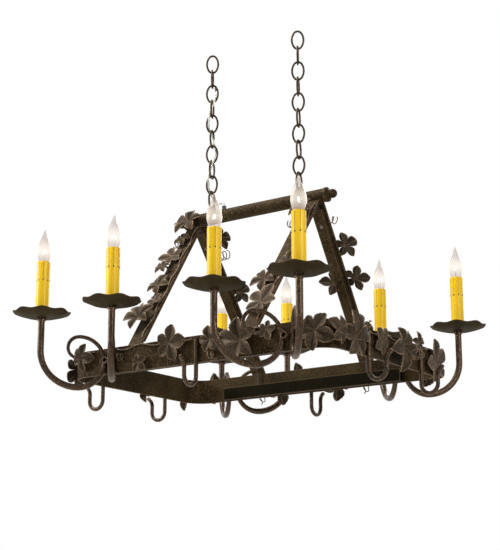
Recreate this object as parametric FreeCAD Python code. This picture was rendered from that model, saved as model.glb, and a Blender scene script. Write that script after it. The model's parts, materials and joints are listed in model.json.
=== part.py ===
import FreeCAD, Part
import math
import os
from FreeCAD import Matrix, Placement, Rotation, Vector

os.makedirs("parts", exist_ok=True)

# A hanging wrought-iron pot rack with candle lamps and ivy leaves, in millimetres.
# The origin is midway between the two ceiling hooks, where they bear inside the top links.
# X runs along the rack, Y across it and Z up.

# Chains
chain_spread = 216.0
link_length = 42.2
link_width = 28.0
link_end_radius = 9.0
link_wire = 4.2
link_count = 10
joint_gap = 0.3

# Eyes that carry the ridge tube
eye_wire = 5.0
eye_radius = 9.0
eye_rise = 2.0
eye_collar_radius = 10.0
eye_collar_height = 1.5
eye_shank_radius = 4.0
eye_nut_radius = 8.0
eye_nut_height = 5.0
eye_shank_end = 1.5

# Ridge tube and its end caps
ridge_length = 340.0
ridge_radius = 13.5
ridge_wall = 2.0
cap_plug_length = 9.0
cap_flange_length = 4.0
cap_flange_step = 1.2
cap_shoulder_radius = 12.0
cap_neck_radius = 7.0
cap_neck_length = 5.0
cap_ball_radius = 9.0

# Band, the flat bar bent on edge into a rounded rectangle
rack_drop = 320.0
band_length = 606.0
band_width = 414.0
band_height = 50.8
band_thickness = 5.0
band_corner = 46.0
seam_radius = 1.6

# Struts from the ridge tube to the long sides
strut_width = 33.0
strut_thickness = 4.0
strut_ridge_x = 144.0
strut_band_x = 133.0
cover_width = 20.0
cover_depth = 8.0
cover_wall = 1.3
cover_top_step = 26.0
cover_foot_step = 16.0
screw_radius = 1.75
screw_head_radius = 3.4
screw_head_height = 2.2
screw_end_step = 34.0
screw_clearance = 0.15

# Raceways, the wire channels inside the long sides
raceway_past = 11.0
raceway_height = 26.0
raceway_depth = 12.0
raceway_wall = 1.5
raceway_step = 1.0

# Hubs and arms
hub_x = 206.0
near_hub_step = 13.0
hub_radius = 6.5
hub_bore_radius = 4.8
hub_length = 17.0
arm_radius = 6.35
arm_hub_radius = 4.4
arm_bore_radius = 2.4
weld_gap = 0.05
curl_end_radius = 2.9
post_collar_radius = 8.6
post_collar_height = 7.0
nipple_radius = 4.75
nipple_rise = 8.0
fit_clearance = 0.1
ring_drop = 2.0

# Candle lamps
lamp_rise = 194.0
lamp_outer_x = 297.0
lamp_inner_x = 118.0
lamp_y = 291.0
sleeve_height = 108.5
sleeve_radius = 12.7
sleeve_wall = 2.0
drip_length = 37.5
drip_radius = 1.5
drip_sink = 0.7
drop_radius = 1.6
drip_count = 8
pan_radius = 56.0
pan_flat_radius = 30.0
pan_thickness = 1.5
pan_rim_rise = 9.0
pan_wave_height = 1.6
pan_wave_depth = 1.8
pan_wave_count = 8
socket_stem_radius = 7.0
socket_stem_height = 52.0
socket_body_radius = 10.2
socket_top_step = 18.0
socket_lead_radius = 3.0
bulb_base_radius = 5.9
bulb_base_length = 20.0
bulb_fit = 0.25
bulb_radius = 12.6
bulb_rise = 60.0
bulb_glass = 0.8

# Pot hooks
hook_rod_radius = 4.0
hook_bend_radius = 17.5
hook_drop = 43.5
hook_top_step = 8.0
hook_tip_rise = 13.0
hook_flare_radius = 20.0
hook_flare_degrees = 60.0
hook_left_near_y = 98.0
hook_left_far_y = 101.0
hook_right_near_y = 84.0
hook_right_far_y = 109.0
hook_near_x = 18.0
hook_far_x = -5.0

# Ivy leaves, vines and tendrils
leaf_thickness = 1.2
leaf_boss_radius = 2.4
leaf_stem_radius = 1.4
leaf_large = 86.0
leaf_big = 72.0
leaf_middle = 56.0
leaf_small = 38.0
leaf_stand = 5.5
leaf_layer = 4.5
vine_radius = 1.5
vine_seat = 0.05
vine_wave = 34.0
vine_band_height = 20.6
vine_strut_offset = 12.5
tendril_wire = 2.0
tendril_small = 6.0
tendril_large = 7.2
tendril_long = 9.0

# Leads
lead_radius = 1.5
lead_hole_radius = 2.2
lead_step = 2.4
lead_aside = 3.8
lead_bend = 9.0
ridge_hole_radius = 6.6
supply_lead_radius = 2.0
supply_lead_tail_bend = 8.0
supply_lead_orbit = 7.1
inlet_radius = 4.5
inlet_neck_radius = 3.0
inlet_height = 7.0

# Heights worked out from the chain downwards
link_half = (link_length - link_wire) / 2
link_side = (link_width - link_wire) / 2
link_pitch = 2 * link_half - link_wire - joint_gap
first_link_z = link_wire / 2 - link_half
last_link_foot_z = first_link_z - (link_count - 1) * link_pitch - link_half
eye_top_z = last_link_foot_z + (link_wire + eye_wire) / 2 + joint_gap
eye_z = eye_top_z - eye_radius
ridge_top_z = eye_z - eye_rise
ridge_z = ridge_top_z - ridge_radius
band_z = ridge_z - rack_drop
band_top_z = band_z + band_height / 2
band_bottom_z = band_z - band_height / 2
sleeve_top_z = band_z + lamp_rise
pan_z = sleeve_top_z - sleeve_height
half_length = band_length / 2
half_width = band_width / 2
raceway_foot_z = band_bottom_z + raceway_step
raceway_y = half_width - band_thickness - weld_gap - raceway_depth / 2
hub_lead_z = band_z - lead_step

UP = Vector(0, 0, 1)
ALONG = Vector(1, 0, 0)
ACROSS = Vector(0, 1, 0)


def export(name, *solids):
    """Write one node, a solid or a group of solids."""
    shape = solids[0] if len(solids) == 1 else Part.makeCompound(list(solids))
    shape.exportStep("parts/" + name + ".step")
    volume = sum(solid.Volume for solid in solids)
    print(name, len(shape.Solids), "solids", round(volume / 1000, 1), "cm3", shape.isValid())


def fused(first, *others):
    """Join solids into one and take away the seams between their faces."""
    shape = first
    for other in others:
        shape = shape.fuse(other)
    return shape.removeSplitter().Solids[0]


def cylinder(radius, length, base, direction=UP):
    return Part.makeCylinder(radius, length, base, direction)


def block(low, high):
    size = high - low
    return Part.makeBox(size.x, size.y, size.z, low)


def frame_at(origin, across, up):
    """A placement whose x runs across, y up and z out of a face."""
    out = across.cross(up)
    matrix = Matrix(
        across.x, up.x, out.x, origin.x,
        across.y, up.y, out.y, origin.y,
        across.z, up.z, out.z, origin.z,
        0, 0, 0, 1,
    )
    return Placement(matrix)


def placed(shape, placement):
    copy = shape.copy()
    copy.transformShape(placement.toMatrix(), True)
    return copy


def rod(edges, radius, end_radius=None):
    """A round rod along a run of tangent edges, tapered if an end radius is given."""
    path = Part.Wire(edges)
    first, last = edges[0], edges[-1]
    start = first.valueAt(first.FirstParameter)
    heading = first.tangentAt(first.FirstParameter)
    profiles = [Part.Wire(Part.Circle(start, heading, radius).toShape())]
    if end_radius:
        finish = last.valueAt(last.LastParameter)
        heading = last.tangentAt(last.LastParameter)
        profiles.append(Part.Wire(Part.Circle(finish, heading, end_radius).toShape()))
    return Part.Solid(path.makePipeShell(profiles, True, False))


def turn_edge(centre, radius, first_degrees, last_degrees, across, up):
    """An arc in the plane of two directions, from one angle to another."""
    points = []
    for share in (0, 0.5, 1):
        angle = math.radians(first_degrees + share * (last_degrees - first_degrees))
        points.append(centre + across * (radius * math.cos(angle)) + up * (radius * math.sin(angle)))
    return Part.Arc(*points).toShape()


def straight(start, finish):
    return Part.makeLine(start, finish)


def tangent_arc(start, corner, finish):
    """The arc from start to finish that touches both legs of a corner."""
    middle = (start + finish) * 0.5
    half_chord = start.distanceToPoint(middle)
    to_corner = corner - middle
    height = to_corner.Length
    sagitta = half_chord * math.tan(math.atan2(height, half_chord) / 2)
    return Part.Arc(start, middle + to_corner * (sagitta / height), finish).toShape()


def rounded_run(points, radius):
    """Straight runs through a list of points, with tangent arcs at the corners."""
    edges = []
    start = points[0]
    for before, corner, after in zip(points, points[1:], points[2:]):
        inward = (corner - before).normalize()
        outward = (after - corner).normalize()
        setback = radius * math.tan(inward.getAngle(outward) / 2)
        first, last = corner - inward * setback, corner + outward * setback
        edges.append(straight(start, first))
        edges.append(tangent_arc(first, corner, last))
        start = last
    edges.append(straight(start, points[-1]))
    return edges


def helix_edges(origin, axis, side, radius, rise, turns, steps=4):
    """A helix as pairs of tangent arcs, a quarter turn or so to each pair."""
    other = axis.cross(side)
    pitch_share = rise / (2 * math.pi)
    slope = math.hypot(radius, pitch_share)

    def point(angle):
        ring = side * (radius * math.cos(angle)) + other * (radius * math.sin(angle))
        return origin + ring + axis * (pitch_share * angle)

    def heading(angle):
        ring = side * (-radius * math.sin(angle)) + other * (radius * math.cos(angle))
        return (ring + axis * pitch_share) * (1 / slope)

    edges = []
    count = int(round(turns * steps))
    sweep = 2 * math.pi * turns / count
    for index in range(count):
        a0 = sweep * index
        a1 = sweep * (index + 1)
        p0, p1, t0, t1 = point(a0), point(a1), heading(a0), heading(a1)
        span = p1 - p0
        lean = span.dot(t0 + t1)
        bend = 2 * (1 - t0.dot(t1))
        reach = (-lean + math.sqrt(lean * lean + bend * span.dot(span))) / bend
        meet = (p0 + p1 + (t0 - t1) * reach) * 0.5
        edges.append(tangent_arc(p0, p0 + t0 * reach, meet))
        edges.append(tangent_arc(meet, p1 - t1 * reach, p1))
    return edges


# Chain

def link_arc(centre, radius, first_degrees, sweep_degrees, across):
    """A bend of round wire, standing upright in the plane of Z and the across direction."""
    angle = math.radians(first_degrees)
    start = centre + (across * math.cos(angle) + UP * math.sin(angle)) * radius
    heading = UP * math.cos(angle) - across * math.sin(angle)
    profile = Part.Face(Part.Wire(Part.Circle(start, heading, link_wire / 2).toShape()))
    return profile.revolve(centre, across.cross(UP), sweep_degrees)


def link(centre, across):
    """One welded link, an oval of two end bends and two long side bends."""
    end_step = link_half - link_end_radius
    spare = link_side**2 + end_step**2 - link_end_radius**2
    side_radius = spare / (2 * (link_side - link_end_radius))
    inset = side_radius - link_side
    meet = math.degrees(math.atan2(end_step, inset))
    pieces = []
    for side, turn in ((1, 0), (-1, 180)):
        side_centre = centre - across * (side * inset)
        pieces.append(link_arc(side_centre, side_radius, turn - meet, 2 * meet, across))
        end_centre = centre + UP * (side * end_step)
        pieces.append(link_arc(end_centre, link_end_radius, turn + meet, 180 - 2 * meet, across))
    return fused(*pieces)


def link_at(x, index):
    """Link number index, counted from the ceiling hook. The chain hangs with a slight twist."""
    twist = chain_turn_degrees + link_twist_degrees * (link_count - 1 - index)
    angle = math.radians(twist + (90 if index % 2 else 0))
    across = ALONG * math.cos(angle) + ACROSS * math.sin(angle)
    return link(Vector(x, 0, first_link_z - index * link_pitch), across)


def eye(x):
    """A welded eye standing in a low collar, and its shank inside the ridge tube."""
    ring = Part.makeTorus(eye_radius, eye_wire / 2, Vector(x, 0, eye_z), ACROSS)
    collar_foot = ridge_z + math.sqrt(ridge_radius**2 - eye_collar_radius**2) - weld_gap
    collar_top = ridge_top_z + eye_collar_height
    collar = cylinder(eye_collar_radius, collar_top - collar_foot, Vector(x, 0, collar_foot))
    axis_start = Vector(x - ridge_radius, 0, ridge_z)
    body = fused(ring, collar).cut(cylinder(ridge_radius, 2 * ridge_radius, axis_start, ALONG))
    bore_top = ridge_top_z - ridge_wall
    shank_foot = bore_top - eye_nut_height - eye_shank_end - ridge_wall
    shank_top = ridge_top_z + eye_collar_height / 2
    shank = cylinder(eye_shank_radius, shank_top - shank_foot, Vector(x, 0, shank_foot))
    return fused(body, shank)


def eye_nut(x):
    """The hexagon nut that holds an eye from inside the tube."""
    drop = ridge_radius - ridge_wall
    seat = ridge_z + math.sqrt(drop**2 - eye_nut_radius**2)
    corners = []
    for index in range(7):
        angle = math.radians(60 * index)
        spot = Vector(x, 0, seat - eye_nut_height)
        corners.append(spot + Vector(math.cos(angle), math.sin(angle), 0) * eye_nut_radius)
    body = Part.Face(Part.makePolygon(corners)).extrude(UP * eye_nut_height)
    hole = cylinder(eye_shank_radius + fit_clearance, 2 * ridge_radius, Vector(x, 0, ridge_z))
    return body.cut(hole).Solids[0]


def inlet_place():
    """Where the supply lead enters the top of the ridge tube."""
    return Vector(chain_x[0] + eye_radius * inlet_share, 0, ridge_top_z)


def lead_inlet():
    """A flanged bushing in the top of the ridge tube."""
    place = inlet_place()
    foot = ridge_z + math.sqrt(ridge_radius**2 - inlet_radius**2) + weld_gap
    collar = cylinder(inlet_radius, place.z + inlet_height - foot, Vector(place.x, 0, foot))
    tube_start = Vector(-ridge_length / 2, 0, ridge_z)
    collar = collar.cut(cylinder(ridge_radius + weld_gap, ridge_length, tube_start, ALONG))
    neck_foot = ridge_top_z - ridge_wall * 2
    neck = cylinder(inlet_neck_radius, place.z - neck_foot, Vector(place.x, 0, neck_foot))
    bore = cylinder(supply_lead_radius + fit_clearance, ridge_radius * 2, Vector(place.x, 0, ridge_z))
    return fused(collar, neck).cut(bore).Solids[0]


def ridge_tube():
    start = Vector(-ridge_length / 2, 0, ridge_z)
    tube = cylinder(ridge_radius, ridge_length, start, ALONG)
    tube = tube.cut(cylinder(ridge_radius - ridge_wall, ridge_length, start, ALONG))
    for x in chain_x:
        tube = tube.cut(cylinder(eye_shank_radius + fit_clearance, 2 * ridge_radius, Vector(x, 0, ridge_z)))
    neck_hole = Vector(inlet_place().x, 0, ridge_z)
    tube = tube.cut(cylinder(inlet_neck_radius + fit_clearance, 2 * ridge_radius, neck_hole))
    for x_side in (-1, 1):
        spot = Vector(x_side * strut_ridge_x, 0, ridge_z)
        tube = tube.cut(cylinder(ridge_hole_radius, 2 * ridge_radius, spot, -UP))
    return tube.Solids[0]


def finial(side):
    """An end cap: plug, flange, sloping shoulder and ball, turned in one piece."""
    bore = ridge_radius - ridge_wall - fit_clearance
    flange = ridge_radius + cap_flange_step
    ball_x = cap_flange_length + cap_neck_length + cap_ball_radius * cap_ball_seat_share

    def on_ball(degrees):
        angle = math.radians(degrees)
        return Vector(ball_x, 0, 0) + Vector(math.cos(angle), math.sin(angle), 0) * cap_ball_radius

    neck_degrees = 180 - math.degrees(math.asin(cap_neck_radius / cap_ball_radius))
    outline = [
        Vector(-cap_plug_length, 0, 0),
        Vector(-cap_plug_length, bore, 0),
        Vector(0, bore, 0),
        Vector(0, flange, 0),
        Vector(cap_flange_length, flange, 0),
        Vector(cap_flange_length, cap_shoulder_radius, 0),
        on_ball(neck_degrees),
    ]
    edges = [straight(a, b) for a, b in zip(outline, outline[1:])]
    tip = on_ball(0)
    edges.append(Part.Arc(outline[-1], on_ball(neck_degrees / 2), tip).toShape())
    edges.append(straight(tip, outline[0]))
    solid = Part.Face(Part.Wire(edges)).revolve(Vector(0, 0, 0), ALONG, 360)
    if side < 0:
        solid.rotate(Vector(0, 0, 0), UP, 180)
    solid.translate(Vector(side * ridge_length / 2, 0, ridge_z))
    return solid


# Band and raceways

def rounded_plate(half_x, half_y, corner, height, foot_z):
    """A block with rounded upright corners."""
    solid = block(Vector(-half_x, -half_y, foot_z), Vector(half_x, half_y, foot_z + height))
    uprights = [e for e in solid.Edges if abs(e.tangentAt(e.FirstParameter).z) > 0.99]
    return solid.makeFillet(corner, uprights)


def band():
    """The flat bar, closed by one butt weld in the far left corner."""
    outside = rounded_plate(half_length, half_width, band_corner, band_height, band_bottom_z)
    inside = rounded_plate(
        half_length - band_thickness,
        half_width - band_thickness,
        band_corner - band_thickness,
        band_height,
        band_bottom_z,
    )
    ring = outside.cut(inside)
    centre = Vector(-half_length + band_corner, half_width - band_corner, band_bottom_z)
    reach = (band_corner - band_thickness) * math.sqrt(0.5)
    seam = cylinder(seam_radius, band_height, centre + Vector(-reach, reach, 0))
    for x, side in hub_places:
        start = Vector(x, side * (half_width - 2 * band_thickness), hub_lead_z)
        ring = ring.cut(cylinder(lead_hole_radius, 3 * band_thickness, start, ACROSS * side))
    return fused(ring.Solids[0], seam.common(outside))


def raceway(side):
    """A channel with closed ends, open towards the band, with two holes for the strut leads."""
    ends = [x for x, hub_side in hub_places if hub_side == side]
    low = Vector(min(ends) - raceway_past, -raceway_depth / 2, raceway_foot_z)
    high = Vector(max(ends) + raceway_past, raceway_depth / 2, raceway_foot_z + raceway_height)
    wall = Vector(raceway_wall, raceway_wall, raceway_wall)
    towards_band = ACROSS * (side * 2 * raceway_wall)
    hollow = block(low + wall, high - wall)
    solid = block(low, high).cut(hollow).cut(hollow.translated(towards_band))
    solid.translate(ACROSS * (side * raceway_y))
    for x_side in (-1, 1):
        path = strut_lead_points(x_side, side)
        solid = solid.cut(cylinder(lead_hole_radius, raceway_height / 2, path[-1]))
    return solid.Solids[0]


# Struts

def strut_frame(x_side, y_side):
    """The frame of a strut: across its width, up along it and out of its outer face."""
    foot = Vector(x_side * strut_band_x, y_side * (half_width - band_thickness / 2), band_top_z)
    top = Vector(x_side * strut_ridge_x, 0, ridge_z)
    level_foot = Vector(0, foot.y, foot.z)
    level_top = Vector(0, 0, ridge_z)
    up = (level_top - level_foot).normalize()
    out = Vector(0, y_side * up.z, -y_side * up.y)
    across = up.cross(out)
    length = level_top.distanceToPoint(level_foot)
    return foot, top, across, up, out, length


def strut_slab(x_side, y_side, half_wide, low_out, high_out, from_top=0, from_foot=0):
    """A straight slab in a strut's own plane, from its foot to its head."""
    foot, top, across, up, out, length = strut_frame(x_side, y_side)
    lean = (top.x - foot.x) / length
    span = up + ALONG * lean
    start = foot + span * from_foot
    finish = foot + span * (length - from_top)
    corners = [
        start - ALONG * half_wide,
        start + ALONG * half_wide,
        finish + ALONG * half_wide,
        finish - ALONG * half_wide,
    ]
    face = Part.Face(Part.makePolygon(corners + corners[:1]))
    solid = face.extrude(out * (high_out - low_out))
    solid.translate(out * low_out)
    return solid


def strut(x_side, y_side):
    """A flat bar, butted on the band's top edge and coped to the ridge tube."""
    half = strut_thickness / 2
    bar = strut_slab(x_side, y_side, strut_width / 2, -half, half, 0, -strut_thickness * 2)
    below = block(
        Vector(-half_length, -half_width - band_height, band_bottom_z),
        Vector(half_length, half_width + band_height, band_top_z),
    )
    start = Vector(-ridge_length / 2, 0, ridge_z)
    bar = bar.cut(below).cut(cylinder(ridge_radius + weld_gap, ridge_length, start, ALONG))
    for screw in screws_of(x_side, y_side, fit_clearance):
        bar = bar.cut(screw)
    return max(bar.Solids, key=lambda piece: piece.Volume)


def cover(x_side, y_side):
    """The wire channel on a strut's inner face."""
    inner = -strut_thickness / 2 - weld_gap
    args = (cover_top_step, cover_foot_step)
    body = strut_slab(x_side, y_side, cover_width / 2, inner - cover_depth, inner, *args)
    half_hollow = cover_width / 2 - cover_wall
    hollow_in = inner - cover_depth + cover_wall
    body = body.cut(strut_slab(x_side, y_side, half_hollow, hollow_in, inner, *args))
    for screw in screws_of(x_side, y_side, screw_clearance):
        body = body.cut(screw)
    return body.Solids[0]


def screws_of(x_side, y_side, clearance=0):
    """The two round-head screws through a cover into its strut."""
    foot, top, across, up, out, length = strut_frame(x_side, y_side)
    lean = (top.x - foot.x) / length
    head_out = -strut_thickness / 2 - weld_gap - cover_depth
    ends = (cover_foot_step + screw_end_step, length - cover_top_step - screw_end_step)
    solids = []
    for along in ends:
        spot = foot + (up + ALONG * lean) * along + out * head_out
        shank = cylinder(screw_radius + clearance, cover_depth + strut_thickness, spot, out)
        if clearance:
            solids.append(shank)
            continue
        ball_radius = (screw_head_radius**2 + screw_head_height**2) / (2 * screw_head_height)
        ball = Part.makeSphere(ball_radius, spot + out * (ball_radius - screw_head_height))
        head_start = spot - out * screw_head_height
        head = ball.common(cylinder(screw_head_radius, screw_head_height, head_start, out))
        solids.append(fused(shank, head))
    return solids


# Hubs and arms

def hub(x, side):
    """A short pipe welded on the band, between the two arms of a pair."""
    base = Vector(x, side * (half_width + weld_gap), band_z)
    pipe = cylinder(hub_radius, hub_length, base, ACROSS * side)
    return pipe.cut(cylinder(hub_bore_radius, hub_length, base, ACROSS * side))


def arm_curve(arm):
    """The centreline of an arm: post, foot bend, ring and curl."""
    name, lamp_x, side, hub_at, hub_side = arm
    touch_y = side * (half_width + arm_hub_radius + 2 * weld_gap)
    reach_x = hub_at + hub_side * (hub_radius + arm_hub_radius + weld_gap)
    lamp = Vector(lamp_x, side * lamp_y, 0)
    inward = Vector(reach_x, touch_y, 0) - lamp
    reach = inward.Length
    inward.normalize()
    foot_radius = reach * foot_bend_share
    ring_radius = reach - foot_radius
    curl_radius = ring_radius * curl_share
    ring_z = band_z - ring_drop
    foot_z = ring_z - ring_radius + foot_radius
    middle = lamp + inward * foot_radius
    post_top = lamp + UP * (pan_z - pan_thickness)
    post = straight(post_top, lamp + UP * foot_z)
    foot_bend = turn_edge(middle + UP * foot_z, foot_radius, 180, 270, inward, UP)
    ring_centre = middle + UP * ring_z
    ring_low = turn_edge(ring_centre, ring_radius, -90, 0, inward, UP)
    ring_high = turn_edge(ring_centre, ring_radius, 0, 90, inward, UP)
    curl_centre = middle + UP * (ring_z + ring_radius - curl_radius)
    curl = turn_edge(curl_centre, curl_radius, 90, 90 + curl_degrees, inward, UP)
    return post, foot_bend, ring_low, ring_high, curl


def arm_solid(arm):
    """A bent tube drawn thinner to its curled end, a collar under the pan and a threaded nipple."""
    post, foot_bend, ring_low, ring_high, curl = arm_curve(arm)
    body = rod([post, foot_bend], arm_radius)
    waist = rod([ring_low], arm_radius, arm_hub_radius)
    tail = rod([ring_high, curl], arm_hub_radius, curl_end_radius)
    tip = Part.makeSphere(curl_end_radius, curl.valueAt(curl.LastParameter))
    top = post.valueAt(post.FirstParameter)
    collar = cylinder(post_collar_radius, post_collar_height, top - UP * post_collar_height)
    nipple = cylinder(nipple_radius, pan_thickness + nipple_rise, top)
    bore_top = top + UP * (pan_thickness + nipple_rise)
    bore_post = straight(bore_top, post.valueAt(post.LastParameter))
    bore = rod([bore_post, foot_bend, ring_low], arm_bore_radius)
    return fused(body, waist, tail, tip, collar, nipple).cut(bore).Solids[0]


def arm_lead(arm):
    """The lamp lead inside an arm, from the hub up to the socket."""
    post, foot_bend, ring_low, ring_high, curl = arm_curve(arm)
    top = post.valueAt(post.FirstParameter) + UP * (pan_thickness + nipple_rise + nipple_radius)
    run = straight(top, post.valueAt(post.LastParameter))
    return rod([run, foot_bend, ring_low], lead_radius)


# Candle lamps, modelled once about their own axis and copied

def pan():
    """A drip pan with a flat floor and a fluted rim."""
    rim_points = []
    steps = pan_wave_count * 4
    for index in range(steps):
        angle = 2 * math.pi * index / steps
        wave = math.cos(pan_wave_count * angle)
        radius = pan_radius - pan_wave_depth * (1 - wave) / 2
        rise = pan_rim_rise + pan_wave_height * wave
        rim_points.append(Vector(radius * math.cos(angle), radius * math.sin(angle), rise))
    rim = Part.BSplineCurve()
    rim.interpolate(rim_points, PeriodicFlag=True)
    floor_edge = Part.Circle(Vector(0, 0, 0), UP, pan_flat_radius).toShape()
    dish = Part.makeRuledSurface(floor_edge, rim.toShape()).extrude(UP * pan_thickness)
    floor = cylinder(pan_flat_radius, pan_thickness, Vector(0, 0, 0))
    solid = fused(floor, dish.Solids[0])
    hole = cylinder(nipple_radius + fit_clearance, pan_thickness, Vector(0, 0, 0))
    solid = solid.cut(hole).Solids[0]
    solid.translate(UP * -pan_thickness)
    return solid


def sleeve():
    """A candle sleeve with wax drips below its top, standing on the pan."""
    solid = cylinder(sleeve_radius, sleeve_height, Vector(0, 0, 0))
    for index in range(drip_count):
        angle = 2 * math.pi * index / drip_count
        spot = Vector(math.cos(angle), math.sin(angle), 0) * (sleeve_radius - drip_sink)
        length = drip_length * drip_length_shares[index % len(drip_length_shares)]
        foot = spot + UP * (sleeve_height - length)
        drip = cylinder(drip_radius, length - drip_radius, foot)
        solid = solid.fuse(drip).fuse(Part.makeSphere(drop_radius, foot))
    bore = cylinder(sleeve_radius - sleeve_wall, sleeve_height, Vector(0, 0, 0))
    return solid.cut(bore).removeSplitter().Solids[0]


def socket():
    """A candelabra socket on its stem, screwed on the arm's nipple."""
    top = sleeve_height - socket_top_step
    stem = cylinder(socket_stem_radius, socket_stem_height, Vector(0, 0, 0))
    body = cylinder(socket_body_radius, top - socket_stem_height, UP * socket_stem_height)
    solid = fused(stem, body)
    shell_length = bulb_base_length + bulb_fit
    shell = cylinder(bulb_base_radius + bulb_fit, shell_length, UP * (top - shell_length))
    thread = cylinder(nipple_radius + fit_clearance, nipple_rise + fit_clearance, Vector(0, 0, 0))
    lead_way = cylinder(socket_lead_radius, socket_stem_height, Vector(0, 0, 0))
    return solid.cut(shell).cut(thread).cut(lead_way).Solids[0]


def bulb_glass_solid(shrink):
    """The flame-shaped envelope, or its hollow when shrunk by the glass thickness."""
    neck_z = sleeve_height - socket_top_step
    reach = socket_top_step + bulb_rise
    points = []
    for height_share, radius_share in bulb_shares:
        radius = bulb_radius * radius_share - shrink
        points.append(Vector(radius, 0, neck_z + reach * height_share))
    points[0].z += shrink
    points[-1].z -= shrink * 2
    profile = Part.BSplineCurve()
    profile.interpolate(points)
    low = Vector(0, 0, points[0].z)
    high = Vector(0, 0, points[-1].z)
    edges = [profile.toShape(), straight(points[-1], high), straight(high, low), straight(low, points[0])]
    return Part.Face(Part.Wire(edges)).revolve(low, UP, 360)


def bulb():
    """A clear flame bulb: hollow envelope and screw base."""
    top = sleeve_height - socket_top_step
    base = cylinder(bulb_base_radius, bulb_base_length, UP * (top - bulb_base_length))
    glass = bulb_glass_solid(0).cut(bulb_glass_solid(bulb_glass))
    return base, glass.Solids[0]


# Pot hooks

def hook(place):
    """A J-hook welded on the band's outer face and open outwards."""
    name, spot, out = place
    wire_out = hook_rod_radius + weld_gap
    top = spot + out * wire_out + UP * (band_top_z - hook_top_step)
    bend_z = band_bottom_z - hook_drop + hook_bend_radius
    shank_foot = spot + out * wire_out + UP * bend_z
    bend_centre = shank_foot + out * hook_bend_radius
    shank = straight(top, shank_foot)
    bend = turn_edge(bend_centre, hook_bend_radius, 180, 360, out, UP)
    tip_foot = bend_centre + out * hook_bend_radius
    tip_top = tip_foot + UP * hook_tip_rise
    rise = straight(tip_foot, tip_top)
    flare_centre = tip_top + out * hook_flare_radius
    flare = turn_edge(flare_centre, hook_flare_radius, 180, 180 - hook_flare_degrees, out, UP)
    body = rod([shank, bend, rise, flare], hook_rod_radius)
    end = Part.makeSphere(hook_rod_radius, flare.valueAt(flare.LastParameter))
    return fused(body, end)


# Ivy leaves

def leaf_outline(size):
    """Five rounded lobes about the point where the stalk meets the blade."""
    points = []
    count = len(lobe_shares)
    for index, (degrees, length_share) in enumerate(lobe_shares):
        angle = math.radians(degrees)
        along = Vector(math.sin(angle), math.cos(angle), 0)
        aside = Vector(-along.y, along.x, 0)
        length = size * length_share
        for side in (-1, 1):
            edge = [along * (length * a) + aside * (side * length * b) for a, b in lobe_edge_shares]
            points += edge if side < 0 else [along * length] + edge[::-1]
        after = lobe_shares[(index + 1) % count][0]
        between = math.radians((degrees + after) / 2) + (math.pi if index == count - 1 else 0)
        points.append(Vector(math.sin(between), math.cos(between), 0) * (size * notch_share))
    return points


def leaf(frame, across, up, size, turn, level, tip=(0, 0), boss=(0, 0)):
    """A blade held off its face by a short welded boss."""
    stand = leaf_stand + level * leaf_layer
    points = leaf_outline(size)
    blade = Part.Face(Part.makePolygon(points + points[:1])).extrude(UP * leaf_thickness)
    blade.rotate(Vector(0, 0, 0), UP, turn)
    stem = Vector(boss[0], boss[1], 0)
    if stem.Length > leaf_boss_radius:
        blade = fused(blade, cylinder(leaf_stem_radius, stem.Length, UP * (leaf_thickness / 2), stem))
    blade.translate(-stem)
    blade.rotate(Vector(0, 0, 0), ALONG, tip[0])
    blade.rotate(Vector(0, 0, 0), ACROSS, tip[1])
    blade.translate(Vector(across + boss[0], up + boss[1], stand))
    foot = Vector(across + boss[0], up + boss[1], weld_gap)
    post = cylinder(leaf_boss_radius, stand + leaf_thickness / 2 - weld_gap, foot)
    return placed(fused(blade, post), frame)


# Vines

def vine(frame, start, finish, level, lean=None):
    """A wire wandering along a face, a run of equal-sloped bends."""
    length = finish - start
    count = max(2, int(round(length / vine_wave)))
    chords = [vine_chord_shares[index % len(vine_chord_shares)] for index in range(count)]
    total = sum(chords)
    edges = []
    place = start
    for index, chord in enumerate(chords):
        step = length * chord / total
        height = step * vine_bend_share * (1 if index % 2 else -1)
        spots = [(place, 0), (place + step / 2, height), (place + step, 0)]
        lift = vine_radius + vine_seat
        if lean is not None:
            points = [Vector(level + b + lean * a, a, lift) for a, b in spots]
        else:
            points = [Vector(a, level + b, lift) for a, b in spots]
        edges.append(Part.Arc(*points).toShape())
        place += step
    return placed(rod(edges, vine_radius), frame)


def tendril(frame, across, up, level, heading_degrees, radius, turns):
    """A curly wire that rises from its foot on a face and coils along the face."""
    angle = math.radians(heading_degrees)
    run = Vector(math.cos(angle), math.sin(angle), 0)
    side = UP.cross(run)
    stand = radius + tendril_wire * tendril_stand_share + level * leaf_layer
    origin = Vector(across, up, stand) - side * radius
    edges = helix_edges(origin, run, side, radius, tendril_wire * tendril_pitch_share, turns)
    start = edges[0].valueAt(edges[0].FirstParameter)
    heading = edges[0].tangentAt(edges[0].FirstParameter)
    reach = (stand - tendril_wire * tendril_foot_share) / heading.z
    edges.insert(0, straight(start - heading * reach, start))
    return placed(rod(edges, tendril_wire / 2), frame)


# Leads

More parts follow.
